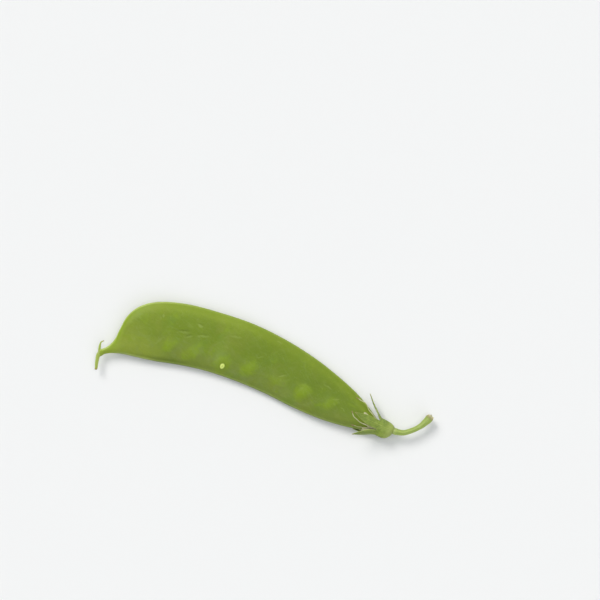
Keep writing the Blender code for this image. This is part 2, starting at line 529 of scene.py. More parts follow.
class Paint:
    """A material in the making: a Principled shader and the nodes that feed it."""

    def __init__(self, name: str) -> None:
        """Starts a material with nothing but its shader and output.

        Args:
            name: the material's name.
        """
        self.material = bpy.data.materials.new(name)
        self.material.use_nodes = True
        self.tree = self.material.node_tree
        self.tree.nodes.clear()
        self.shader = self.tree.nodes.new("ShaderNodeBsdfPrincipled")
        output = self.tree.nodes.new("ShaderNodeOutputMaterial")
        self.tree.links.new(self.shader.outputs[0], output.inputs["Surface"])

    def feed(self, node: bpy.types.Node, inputs: Mapping[str | int, Feed]) -> None:
        """Sets or links a node's sockets.

        Args:
            node: the node.
            inputs: for each socket's name or number, a flow, a number, or a colour or vector.
        """
        for key, value in inputs.items():
            socket = node.inputs[key]
            if isinstance(value, Flow):
                self.tree.links.new(value.socket, socket)
            elif socket.type == "RGBA":
                socket.default_value = (*value, 1.0)
            else:
                socket.default_value = value

    def node(
        self,
        kind: str,
        settings: Mapping[str, object],
        inputs: Mapping[str | int, Feed],
        output: str | int = 0,
    ) -> Flow:
        """Adds any node.

        Args:
            kind: the node's type.
            settings: its settings, set first; stops are a ramp's places and colours.
            inputs: the values or flows of its sockets.
            output: the name or number of the socket that is wanted.

        Returns:
            That socket.
        """
        made = self.tree.nodes.new(kind)
        for name, value in settings.items():
            if name == "stops":
                self.set_stops(made.color_ramp, value)
            else:
                setattr(made, name, value)
        self.feed(made, inputs)
        return Flow(self, made.outputs[output])

    @staticmethod
    def set_stops(ramp: bpy.types.ColorRamp, stops: Sequence[tuple[float, Colour]]) -> None:
        """Gives a ramp its stops.

        Args:
            ramp: the ramp.
            stops: places from 0 to 1 and their colours, in order.
        """
        while len(ramp.elements) < len(stops):
            ramp.elements.new(1.0)
        for element, (place, colour) in zip(ramp.elements, stops):
            element.position = place
            element.color = (*colour, 1.0)

    def combine(self, operation: Sum, first: Feed, second: Feed) -> Flow:
        """Arithmetic on two feeds: Mix for colours, Vector Math for vectors and Math for numbers.

        Args:
            operation: what is done.
            first: the left side.
            second: the right side.

        Returns:
            The result.
        """
        kinds = {feed.socket.type for feed in (first, second) if isinstance(feed, Flow)}
        if "RGBA" in kinds:
            settings = {"data_type": "RGBA", "blend_type": operation.value}
            return self.node("ShaderNodeMix", settings, {0: 1.0, 6: first, 7: second}, 2)
        if self.is_wide(first) or self.is_wide(second):
            spread = [feed if self.is_wide(feed) else self.spread(feed) for feed in (first, second)]
            return self.node("ShaderNodeVectorMath", {"operation": operation.value}, dict(enumerate(spread)))
        return self.node("ShaderNodeMath", {"operation": operation.value}, {0: first, 1: second})

    @staticmethod
    def is_wide(feed: Feed) -> bool:
        """Whether a feed has three parts."""
        return feed.socket.type == "VECTOR" if isinstance(feed, Flow) else not isinstance(feed, (int, float))

    def spread(self, feed: Feed) -> Feed:
        """Makes a vector of a number.

        Args:
            feed: the number.

        Returns:
            A vector with three parts equal to it.
        """
        if isinstance(feed, Flow):
            return self.node("ShaderNodeCombineXYZ", {}, {0: feed, 1: feed, 2: feed})
        return (feed, feed, feed)

    def mix(self, share: Feed, first: Feed, second: Feed) -> Flow:
        """A colour between two, by a share from 0 to 1."""
        return self.node("ShaderNodeMix", {"data_type": "RGBA"}, {0: share, 6: first, 7: second}, 2)

    def layered(self, ground: Feed, *layers: tuple[Feed, Colour]) -> Flow:
        """Lays colours over a ground, one after another.

        Args:
            ground: the colour underneath.
            layers: for each colour, its share from 0 to 1 and the colour itself.

        Returns:
            The colour on top.
        """
        for share, colour in layers:
            ground = self.mix(share, ground, colour)
        return ground

    def told(self, name: str) -> Flow:
        """A vector value that the piece's mesh carries."""
        return self.node("ShaderNodeAttribute", {"attribute_name": name}, {}, "Vector")

    def told_number(self, name: str) -> Flow:
        """A number that the piece's mesh carries."""
        return self.node("ShaderNodeAttribute", {"attribute_name": name}, {}, "Fac")

    def cloud(
        self, place: Feed, scale: float, detail: float = 3.0, rough: float = 0.55, bend: float = 0.0
    ) -> Flow:
        """Cloudy noise about 0.5, with scale lumps to the unit of place."""
        inputs = {"Vector": place, "Scale": scale, "Detail": detail, "Roughness": rough, "Distortion": bend}
        return self.node("ShaderNodeTexNoise", {}, inputs, "Fac")

    def cells(self, place: Feed, scale: float, since: Cell = Cell.CENTRE, jitter: float = 1.0) -> Flow:
        """Distance from the centre or the edge of the nearest of many cells."""
        inputs = {"Vector": place, "Scale": scale, "Randomness": jitter}
        return self.node("ShaderNodeTexVoronoi", {"feature": since.value}, inputs, "Distance")

    def bump(
        self, height: Feed, depth_mm: float, over: Flow | None = None, strength: float = 1.0
    ) -> Flow:
        """A bumped normal.

        Args:
            height: the relief, from 0 to 1.
            depth_mm: the depth that 1 stands for.
            over: a normal that is bumped already, or nothing.
            strength: the share of the relief that shows.

        Returns:
            The normal.
        """
        inputs: dict[str | int, Feed] = {"Height": height, "Distance": depth_mm * MM, "Strength": strength}
        if over is not None:
            inputs["Normal"] = over
        return self.node("ShaderNodeBump", {}, inputs)

    def finished(self, **sockets: Feed) -> bpy.types.Material:
        """Feeds the shader's sockets, named with _ for each space, and gives up the material."""
        self.feed(self.shader, {name.replace("_", " "): value for name, value in sockets.items()})
        return self.material


@dataclass(frozen=True)
class Flesh:
    """What a green surface has all over: its gloss, and how light goes through the tissue under it."""

    weight: float
    radius: Colour
    depth: float
    bend: float = 1.42
    specular: float = 0.5

    def sockets(self) -> dict[str, Feed]:
        """The shader's sockets that it sets.

        Returns:
            Their values by name, for Paint.finished.
        """
        return {
            "IOR": self.bend,
            "Specular_IOR_Level": self.specular,
            "Subsurface_Weight": self.weight,
            "Subsurface_Radius": self.radius,
            "Subsurface_Scale": self.depth,
        }


@dataclass(frozen=True)
class Mark:
    """A small scar or crease on the pod's upper valve: a pale stroke, part the scar's own paler tissue and
    part painted highlight, with a darker stroke of painted shadow beside it.
    """

    x: float
    y: float
    turn: float
    length: float
    width: float
    # strength of the pale stroke: the scar's paler tissue and a painted highlight on the crease's lip
    pale: float
    # strength of the dark stroke beside it: a groove in the relief and painted shadow in the colour
    groove_and_shadow: float

    def stroke(self, drawn: Flow, aside: float) -> Flow:
        """A mask that is 1 along a soft stroke, which is shifted to its side by so many widths."""
        local = (drawn - (self.x, self.y, 0.0)).turned(-self.turn) - (0.0, aside * self.width, 0.0)
        return (local * (1 / self.length, 1 / self.width, 0.0)).length().step(1.0, 0.3)


class PodSpot:
    """A spot on the pod's skin: where it lies, and the clouds, fibres and veins that break its colours up."""

    def __init__(self, paint: Paint) -> None:
        """Reads what the mesh tells, and adds the patterns.

        Args:
            paint: the skin's material.
        """
        self.paint = paint
        self.drawn, skin, self.pea = paint.told("drawn"), paint.told("skin"), paint.told_number("pea")
        self.along, self.ventral, self.dorsal = skin.parts()
        self.across = self.ventral / (self.ventral + self.dorsal + 0.01)
        self.upper = self.drawn.parts()[2].step(-0.2, 0.2)
        self.broad = paint.cloud(self.drawn, 0.075, 2.0, 0.5, 0.4)
        self.patch = paint.cloud(self.drawn + (31.0, 7.0, 0.0), 0.24, 3.0, 0.6, 0.8)
        self.haze = paint.cloud(self.drawn + (5.0, 63.0, 0.0), 0.14, 4.0, 0.62, 1.2)
        self.tint = paint.cloud(self.drawn + (77.0, 15.0, 0.0), 0.13, 3.0, 0.55, 0.7)
        self.grain = paint.cloud(self.drawn * (0.55, 1.0, 1.0), 1.6, 4.0, 0.65)
        self.fibre = paint.cloud(skin * (0.12, 1.0, 0.0) + self.drawn * (0.0, 0.0, 3.0), 2.2, 4.0, 0.6)
        self.veins = self.branching(skin)

    def branching(self, skin: Flow) -> Flow:
        """Fine slanting veins that branch from the sutures: the level lines of two stretched clouds.

        Args:
            skin: distances along the pod and from its two edges.

        Returns:
            The mask.
        """
        flat = skin * (1.0, 1.0, 0.0) + self.drawn * (0.0, 0.0, 9.0)
        masks = []
        for turn, scale in ((-52.0, 0.62), (38.0, 0.5)):
            cloud = self.paint.cloud(flat.turned(turn) * (1.0, 0.2, 1.0), scale, 2.0, 0.5, 0.7)
            masks.append(abs(cloud - 0.5).step(0.035, 0.0))
        return masks[0] * 0.7 + masks[1] * 0.4

    def from_blister(self) -> Flow:
        """Distance from the middle of the blister, in its radii, a little uneven.

        Returns:
            The distance.
        """
        dot = Blister()
        local = (self.drawn - (dot.x, dot.y, 0.0)).turned(-dot.turn)
        local = local * (1 / (dot.radius * dot.stretch), 1 / dot.radius, 0.0)
        return local.length() + (self.paint.cloud(self.drawn, 1.1, 1.0) - 0.5) * 0.3


@dataclass(frozen=True)
class PodSkin:
    """The pod's skin: fresh green under a thin bloom of wax, paler at the sutures and at both ends, with
    painted shade along the ventral edge and in the creases, and painted highlights on the ventral bead near
    the beak and on the dorsal rim.
    """

    ventral: Colour = (0.185, 0.245, 0.038)
    heart: Colour = (0.166, 0.245, 0.012)
    shoulder: Colour = (0.195, 0.278, 0.016)
    band: Colour = (0.27, 0.36, 0.04)
    beak: Colour = (0.265, 0.332, 0.04)
    deep: Colour = (0.115, 0.18, 0.012)
    fresh: Colour = (0.222, 0.328, 0.013)
    bloom: Colour = (0.225, 0.283, 0.098)
    olive: Colour = (0.235, 0.27, 0.038)
    leafy: Colour = (0.15, 0.262, 0.03)
    # the pale ventral bead and the veins; near the beak the bead's colour also carries a painted highlight
    suture: Colour = (0.33, 0.4, 0.15)
    # the dorsal rim's pale line: the suture's own slightly paler tone, with a painted highlight that grows
    # towards the beak
    edge: Colour = (0.46, 0.57, 0.15)
    # painted shade: the groove beside the ventral bead, the ventral edge, the creases' dark strokes and a
    # ring round the blister
    shade: Colour = (0.085, 0.125, 0.012)
    # pale scar tissue and tiny pale dots; in the marks' pale strokes it also stands for painted highlight on
    # the creases' lips
    scar: Colour = (0.33, 0.42, 0.11)
    blister: Colour = (0.71, 0.84, 0.205)
    flesh: Flesh = Flesh(0.12, (0.9, 1.0, 0.25), 0.0012, specular=0.23)
    marks: tuple[Mark, ...] = (
        Mark(27.6, 17.5, -20, 1.5, 0.5, 0.8, 0.7),
        Mark(29.9, 14.4, 16, 2.7, 0.55, 0.6, 0.5),
        Mark(22.9, 13.6, 14, 2.9, 0.5, 0.45, 1.0),
        Mark(25.2, 12.7, 30, 1.6, 0.45, 0.45, 0.8),
        Mark(40.6, 17.6, 4, 2.6, 0.5, 0.45, 0.3),
        Mark(60.2, 9.7, 30, 1.9, 0.35, 0.6, 0.3),
        Mark(14.4, 16.8, 100, 1.1, 0.3, 0.6, 0.3),
        Mark(55.7, 20.6, -12, 1.6, 0.5, 0.5, 0.0),
        Mark(51.0, 13.6, 24, 1.8, 0.3, 0.35, 0.3),
        Mark(80.5, 7.6, 15, 1.5, 0.35, 0.5, 0.4),
        Mark(15.7, 8.4, 58, 2.4, 0.6, 0.3, 0.0),
        Mark(76.4, 11.0, -14, 2.4, 0.35, 0.5, 0.5),
        Mark(84.0, 5.2, -30, 1.6, 0.3, 0.5, 0.3),
        Mark(37.2, 13.6, 82, 7.5, 3.2, 0.22, 0.0),
    )

    def make(self) -> bpy.types.Material:
        """Mixes the skin's colours, gloss and relief.

        Returns:
            The material.
        """
        paint = Paint("pod_skin_finish")
        spot = PodSpot(paint)
        pale, groove_and_shadow = self.strokes(spot)
        away = spot.from_blister()
        dome = away.step(1.15, 0.7) * spot.upper
        dots = paint.cells(spot.drawn, 0.45, jitter=0.9).step(0.12, 0.06) * spot.grain.step(0.5, 0.62)
        colour = paint.layered(
            self.edged(spot, self.greens(spot)),
            # the marks' pale strokes: part the scars' own paler tissue, part painted highlight on the
            # creases' lips
            (pale * spot.upper * 0.55, self.scar),
            # the marks' dark strokes: painted shadow beside each crease
            (groove_and_shadow * spot.upper * 0.32, self.shade),
            (dots * 0.35, self.scar),
            (away.step(3.8, 1.6) * spot.upper * 0.6, self.shoulder),
            # painted shade: a darker ring round the foot of the blister's dome
            (away.step(1.75, 1.05) * spot.upper * 0.3, self.shade),
            (dome * (0.8 + spot.grain * 0.4) - away.step(0.6, 0.1) * 0.35, self.blister),
        )
        fine = paint.cloud(spot.drawn, 5.5, 2.0, 0.5)
        height = spot.grain * 0.5 + fine * 0.25 + spot.veins * 0.2 + spot.fibre * 0.4
        normal = paint.bump(height * (1.0 - dome * 0.8), 0.075)
        normal = paint.bump(spot.patch * 0.7 + spot.broad, 0.35, normal, 0.6)
        return paint.finished(
            Base_Color=colour,
            Roughness=0.45 + (spot.grain - 0.5) * 0.3 + (spot.haze - 0.5) * 0.35 + pale * 0.1,
            Normal=paint.bump(pale * spot.upper * 0.3 - groove_and_shadow * spot.upper * 0.4, 0.12, normal),
            **self.flesh.sockets(),
        )

    def greens(self, spot: PodSpot) -> Flow:
        """The greens of the flat valves, over the peas and between them.

        Args:
            spot: the spot on the skin.

        Returns:
            The colour.
        """
        along, across, broad, patch = spot.along, spot.across, spot.broad, spot.patch
        places = (0.05, 0.22, 0.42, 0.66, 0.85)
        stops = list(zip(places, (self.ventral, self.ventral, self.heart, self.heart, self.shoulder)))
        share = across + (patch - 0.5) * 0.3
        ground = spot.paint.node("ShaderNodeValToRGB", {"stops": stops}, {0: share}, "Color")
        far = along.step(38.0, 62.0) * across.step(0.1, 0.45)
        glow = (spot.pea + (patch - 0.5) * 1.1).step(0.3, 1.05) * (0.35 + spot.haze * 0.9)
        return spot.paint.layered(
            ground,
            (spot.tint.step(0.5, 0.7) * 0.35, self.olive),
            (spot.tint.step(0.48, 0.3) * 0.35, self.leafy),
            ((along + (broad - 0.5) * 22.0 + across * 17.0).step(37.0, 13.0) * 0.92, self.beak),
            (broad.step(0.45, 0.72) * 0.25 + far * 0.34, self.deep),
            (patch.step(0.54, 0.74) * 0.4, self.fresh),
            (glow, self.fresh),
            (spot.haze.step(0.44, 0.74) * 0.42 * across.step(0.8, 0.12), self.bloom),
            (spot.veins * 0.12, self.suture),
            ((spot.grain - 0.5) * 0.45 + 0.07, self.deep),
            ((spot.fibre - 0.5) * 0.4 + 0.03, self.band),
        )

    def edged(self, spot: PodSpot, ground: Flow) -> Flow:
        """The greens with the paler shoulder and both ends, painted shade in the groove beside the ventral
        bead and along the ventral edge, the pale ventral bead with a painted highlight near the beak, and the
        dorsal rim's pale line, mostly painted highlight.

        Args:
            spot: the spot on the skin.
            ground: the valves' greens.

        Returns:
            The colour.
        """
        along, ventral, dorsal, grain, fibre = spot.along, spot.ventral, spot.dorsal, spot.grain, spot.fibre
        ragged = dorsal + (spot.haze - 0.5) * 2.0 + (grain - 0.5) * 0.8
        shoulder = 0.36 + spot.tint * 0.3 - along.step(40.0, 60.0) * 0.22
        # painted shade in the groove between the ventral bead and the valve, and along the ventral edge where
        # it turns away from the light
        painted_groove_shade = (abs(ventral - 1.05) + (fibre - 0.5) * 0.4).step(0.6, 0.05)
        painted_groove_shade = painted_groove_shade * (0.06 + along.step(34.0, 14.0) * 0.2)
        painted_edge_shade = ventral.step(2.5, 0.7) * (along.step(15.0, 21.0) * along.step(40.0, 25.0) * 0.3 + 0.08)
        beaded = 0.55 + (grain - 0.5) * 1.6 + (fibre - 0.5)
        # the ventral suture's bead: its own pale greyish tone all along the pod
        ventral_bead_and_highlight = ventral.step(0.75, 0.35) * (beaded * 0.4 + 0.2) * along.step(3.0, 9.0)
        # painted highlight on the dorsal rim, strongest towards the beak, over the suture's own slightly
        # paler tone
        rim_pale_and_highlight = dorsal.step(0.7, 0.45) * (along.step(38.0, 14.0) * 0.65 + 0.2)
        return spot.paint.layered(
            ground,
            (ragged.step(4.3, 1.7) * shoulder, self.band),
            (ragged.step(2.6, 0.8) * along.step(21.0, 8.0) * 0.78, self.fresh),
            (along.step(9.0, 1.0) * 0.7 + along.step(86.0, 99.0) * 0.6, self.band),
            # the painted shade of the ventral groove and edge
            ((painted_groove_shade + painted_edge_shade) * along.step(7.0, 15.0), self.shade),
            # near the beak the bead is made paler still: a painted highlight where it catches the light
            (ventral_bead_and_highlight * (along.step(22.0, 14.0) * 0.8 + 0.5), self.suture),
            # the dorsal rim's painted highlight
            (rim_pale_and_highlight * (beaded + 0.35), self.edge),
        )

    def strokes(self, spot: PodSpot) -> tuple[Flow, Flow]:
        """The pale strokes of all the marks, part scar colour and part painted highlight, and their dark
        strokes of painted shadow.

        Args:
            spot: the spot on the skin.

        Returns:
            The two masks.
        """
        bent = spot.drawn + (spot.paint.cloud(spot.drawn, 0.8, 2.0) - 0.5) * (1.2, 1.2, 0.0)
        pale = [mark.stroke(bent, 0.0) * mark.pale for mark in self.marks]
        groove_and_shadow = [mark.stroke(bent, 1.3) * mark.groove_and_shadow for mark in self.marks]
        return sum(pale[1:], pale[0]), sum(groove_and_shadow[1:], groove_and_shadow[0])


@dataclass(frozen=True)
class CalyxSkin:
    """Thin leafy tissue with a net of veins, paler at its edges and a little dry at its tips."""

    leaf: Colour = (0.245, 0.335, 0.045)
    pale: Colour = (0.41, 0.49, 0.12)
    deep: Colour = (0.15, 0.225, 0.025)
    dry: Colour = (0.42, 0.36, 0.13)
    flesh: Flesh = Flesh(0.15, (0.8, 1.0, 0.2), 0.0008)

    def make(self) -> bpy.types.Material:
        """Mixes the leaf's colours, gloss and relief.

        Returns:
            The material.
        """
        paint = Paint("calyx_finish")
        leaf, drawn = paint.told("leaf"), paint.told("drawn")
        tip, across, _ = leaf.parts()
        blotch = paint.cloud(drawn, 0.8, 3.0, 0.6, 0.5)
        grain = paint.cloud(drawn, 3.2, 4.0, 0.6)
        ribs = self.ribs(across, grain)
        spread = leaf * (4.2, 2.1, 0.0) + drawn * 0.3 + grain * 0.4
        net = paint.cells(spread, 1.35, Cell.EDGE).step(0.1, 0.0)
        margin = abs(across).step(0.78, 0.98) * tip.step(0.0, 0.12)
        burnt = (tip + (grain - 0.5) * 0.3).step(0.86, 1.0)
        colour = paint.layered(
            paint.mix(blotch.step(0.35, 0.7), self.leaf, self.deep),
            (ribs * 0.6 + net * 0.12, self.pale),
            (margin * 0.7, self.pale),
            (tip.step(-0.35, -0.75) * 0.6, self.pale),
            (burnt * 0.8, self.dry),
        )
        return paint.finished(
            Base_Color=colour,
            Roughness=0.5 + (grain - 0.5) * 0.25 + burnt * 0.2,
            Normal=paint.bump(ribs * 0.9 + net * 0.2 + grain * 0.35, 0.09),
            **self.flesh.sockets(),
        )

    @staticmethod
    def ribs(across: Flow, grain: Flow) -> Flow:
        """A midrib with three side ribs to each side of it, all drawn in towards the tip.

        Args:
            across: the place across the sepal, -1 and 1 at its edges.
            grain: what makes the ribs waver.

        Returns:
            The mask.
        """
        off = abs(across + (grain - 0.5) * 0.08)
        total = off.step(0.09, 0.0)
        for place, share in ((0.3, 0.6), (0.55, 0.45), (0.8, 0.35)):
            total = total + abs(off - place).step(0.05, 0.0) * share
        return total


@dataclass(frozen=True)
class StalkSkin:
    """The stalk's skin: pale green, streaked along its ridges, with a torn brown end."""

    green: Colour = (0.4, 0.5, 0.12)
    pale: Colour = (0.55, 0.62, 0.26)
    deep: Colour = (0.25, 0.35, 0.06)
    torn: Colour = (0.54, 0.52, 0.28)
    brown: Colour = (0.2, 0.13, 0.045)
    flesh: Flesh = Flesh(0.12, (0.9, 1.0, 0.3), 0.001)
    ridges: float = 5.0

    def make(self) -> bpy.types.Material:
        """Mixes the stalk's colours, gloss and relief.

        Returns:
            The material.
        """
        paint = Paint("stalk_finish")
        run, drawn = paint.told("run"), paint.told("drawn")
        along, round_it, left = run.parts()
        streak = paint.cloud(run * (0.35, 2.6, 0.0), 1.5, 4.0, 0.6)
        grain = paint.cloud(drawn, 4.0, 3.0, 0.6)
        ridges = (round_it * self.ridges).cosine() * 0.5 + 0.5
        dots = paint.cells(drawn, 1.3, jitter=0.9).step(0.16, 0.08)
        end = (left + (grain - 0.5) * 0.9).step(1.3, 0.75)
        stain = (left + (streak - 0.5) * 1.6).step(1.8, 1.0) * left.step(0.35, 0.8)
        colour = paint.layered(
            paint.mix(ridges.step(0.1, 0.9) * 0.5 + streak * 0.3, self.deep, self.green),
            (streak.step(0.5, 0.75) * 0.6, self.pale),
            (dots * 0.5, self.pale),
            (along.step(2.2, 0.4) * 0.5, self.pale),
            (end, self.torn),
            (stain * 0.45, self.brown),
        )
        return paint.finished(
            Base_Color=colour,
            Roughness=0.5 + (grain - 0.5) * 0.2 + end * 0.25,
            Normal=paint.bump(ridges * 0.35 + streak * 0.5 + grain * 0.25 + dots * 0.4, 0.09),
            **self.flesh.sockets(),
        )


@dataclass(frozen=True)
class StyleSkin:
    """The style: pale yellow-green, clear at its edges, and dry where the flower's stigma was."""

    green: Colour = (0.33, 0.42, 0.07)
    pale: Colour = (0.58, 0.66, 0.26)
    dry: Colour = (0.36, 0.27, 0.09)
    flesh: Flesh = Flesh(0.2, (1.0, 1.0, 0.4), 0.0008)

    def make(self) -> bpy.types.Material:
        """Mixes the style's colours, gloss and relief.

        Returns:
            The material.
        """
        paint = Paint("style_finish")
        run = paint.told("run")
        _, round_it, left = run.parts()
        streak = paint.cloud(run * (0.5, 2.0, 0.0), 2.2, 3.0, 0.6)
        grain = paint.cloud(paint.told("drawn"), 5.0, 3.0, 0.6)
        edge = abs(round_it.cosine()).step(0.55, 1.0)
        tip = (left + (grain - 0.5) * 0.5).step(0.9, 0.3)
        colour = paint.mix(edge * 0.75 + (streak - 0.5) * 0.7, self.green, self.pale)
        return paint.finished(
            Base_Color=paint.mix(tip * 0.85, colour, self.dry),
            Roughness=0.5 + (grain - 0.5) * 0.2,
            Normal=paint.bump(streak * 0.7 + grain * 0.3, 0.08),
            **self.flesh.sockets(),
        )


@dataclass(frozen=True)
class DryThread:
    """Withered stamens: straw-coloured and papery, with brown anthers."""

    straw: Colour = (0.52, 0.5, 0.26)
    pale: Colour = (0.68, 0.68, 0.46)
    brown: Colour = (0.22, 0.13, 0.04)
    bend: float = 1.4

    def make(self) -> bpy.types.Material:
        """Mixes the threads' colours, gloss and relief.

        Returns:
            The material.
        """
        paint = Paint("dry_thread_finish")
        streak = paint.cloud(paint.told("run") * (0.6, 1.0, 0.0), 2.5, 4.0, 0.65)
        colour = paint.mix(streak.step(0.35, 0.7), self.straw, self.pale)
        anther = paint.told_number("tip") * (0.6 + streak * 0.4)
        return paint.finished(
            Base_Color=paint.mix(anther, colour, self.brown),
            Roughness=0.62 + (streak - 0.5) * 0.3,
            Normal=paint.bump(streak, 0.05),
            IOR=self.bend,
        )


@dataclass(frozen=True)
class TableTop:
    """A plain pale table."""

    pale: Colour = (0.86, 0.865, 0.865)
    dull: Colour = (0.8, 0.8, 0.8)

    def make(self) -> bpy.types.Material:
        """Mixes the table's matt white, with a trace of unevenness.

        Returns:
            The material.
        """
        paint = Paint("table_finish")
        cloud = paint.cloud(paint.node("ShaderNodeTexCoord", {}, {}, "Object"), 60.0, 2.0)
        colour = paint.mix(cloud * 0.04, self.pale, self.dull)
        return paint.finished(Base_Color=colour, Roughness=0.6 + cloud * 0.1, Specular_IOR_Level=0.0)


@dataclass(frozen=True)
class WallGlow:
    """The even glow of a far wall, as bright as the table's top looks."""

    colour: Colour = TableTop.pale
    strength: float = 1.05

    def make(self) -> bpy.types.Material:
        """Sets a surface that glows and neither shines nor takes light.

        Returns:
            The material.
        """
        return Paint("wall_finish").finished(
            Base_Color=(0.0, 0.0, 0.0),
            Roughness=1.0,
            Specular_IOR_Level=0.0,
            Emission_Color=self.colour,
            Emission_Strength=self.strength,
        )


# ---------------------------------------------------------------- the pod and its parts


@dataclass(frozen=True)
class Lie:
    """How the pod lies: flat at the belly, rising to both ends, and a little twisted."""

    belly: float = 2.25
    beak_rise: float = 1.3
    beak_from: float = 45.0
    stalk_rise: float = 1.45
    stalk_from: float = 55.0
    twist: float = 2.5
    twist_y: float = 11.0

    def height(self, x: Array, y: Array) -> Array:
        """The middle plane's height at places in the drawing.

        Args:
            x: along the pod.
            y: across the pod.

        Returns:
            Heights over the table.
        """
        beak = self.beak_rise * np.maximum(0, 1 - x / self.beak_from) ** 2
        stalk = self.stalk_rise * np.maximum(0, (x - self.stalk_from) / (POD_LENGTH - self.stalk_from)) ** 2
        tilt = math.tan(math.radians(self.twist)) * (2 * x / POD_LENGTH - 1)
        return self.belly + beak + stalk - tilt * (y - self.twist_y)


@dataclass(frozen=True)
class Pea:
    """A young pea inside the pod: where it sits, its size, and how far it stands out and shows through."""

    x: float
    from_ventral: float
    radius: float
    rise: float
    glow: float

    def under(self, x: Array, up: Array, turn: float = 0.0, stretch: float = 1.0) -> Array:
        """How much of the pea is under each point, from 0 to 1.

        Args:
            x: along the pod.
            up: distance across from the ventral edge.
            turn: the direction in degrees in which its outline is stretched.
            stretch: by how much.

        Returns:
            The share at each point.
        """
        squash, steepness = 1.08, 2.4
        away = oval(x - self.x, (up - self.from_ventral) * squash, turn, stretch) / self.radius
        return np.exp(-(away**steepness))


@dataclass(frozen=True)
class Sway:
    """A gentle wave of one of the pod's edges, out of the pod's plane."""

    height: float
    wave: float
    phase: float

    def lift(self, x: Array) -> Array:
        """How far the wave lifts the edge at places along the pod."""
        return self.height * np.sin(x / self.wave + self.phase)


@dataclass(frozen=True)
class Bead:
    """The bead of a suture along one edge, with its groove, the trough beside it, and the edge's sway."""

    radius: float
    of_width: float
    of_half: float
    groove: float
    groove_spread: float
    trough: float
    trough_off: float
    trough_spread: float
    sway: Sway

    def size(self, width: Array, half: Array) -> Array:
        """Its radius at each ring, held to its shares of the pod's width and half thickness."""
        return np.minimum(self.radius, np.minimum(self.of_width * width, self.of_half * half))

    def grooved(self, size: Array, angle: Array) -> Array:
        """Its radius at angles round it, with the groove in its middle."""
        return size * (1 - self.groove * hump(angle, 0.0, self.groove_spread))

    def dip(self, size: Array, inside: Array) -> Array:
        """The trough's depth at distances inside the edge."""
        return self.trough * hump(inside, size + self.trough_off, self.trough_spread)


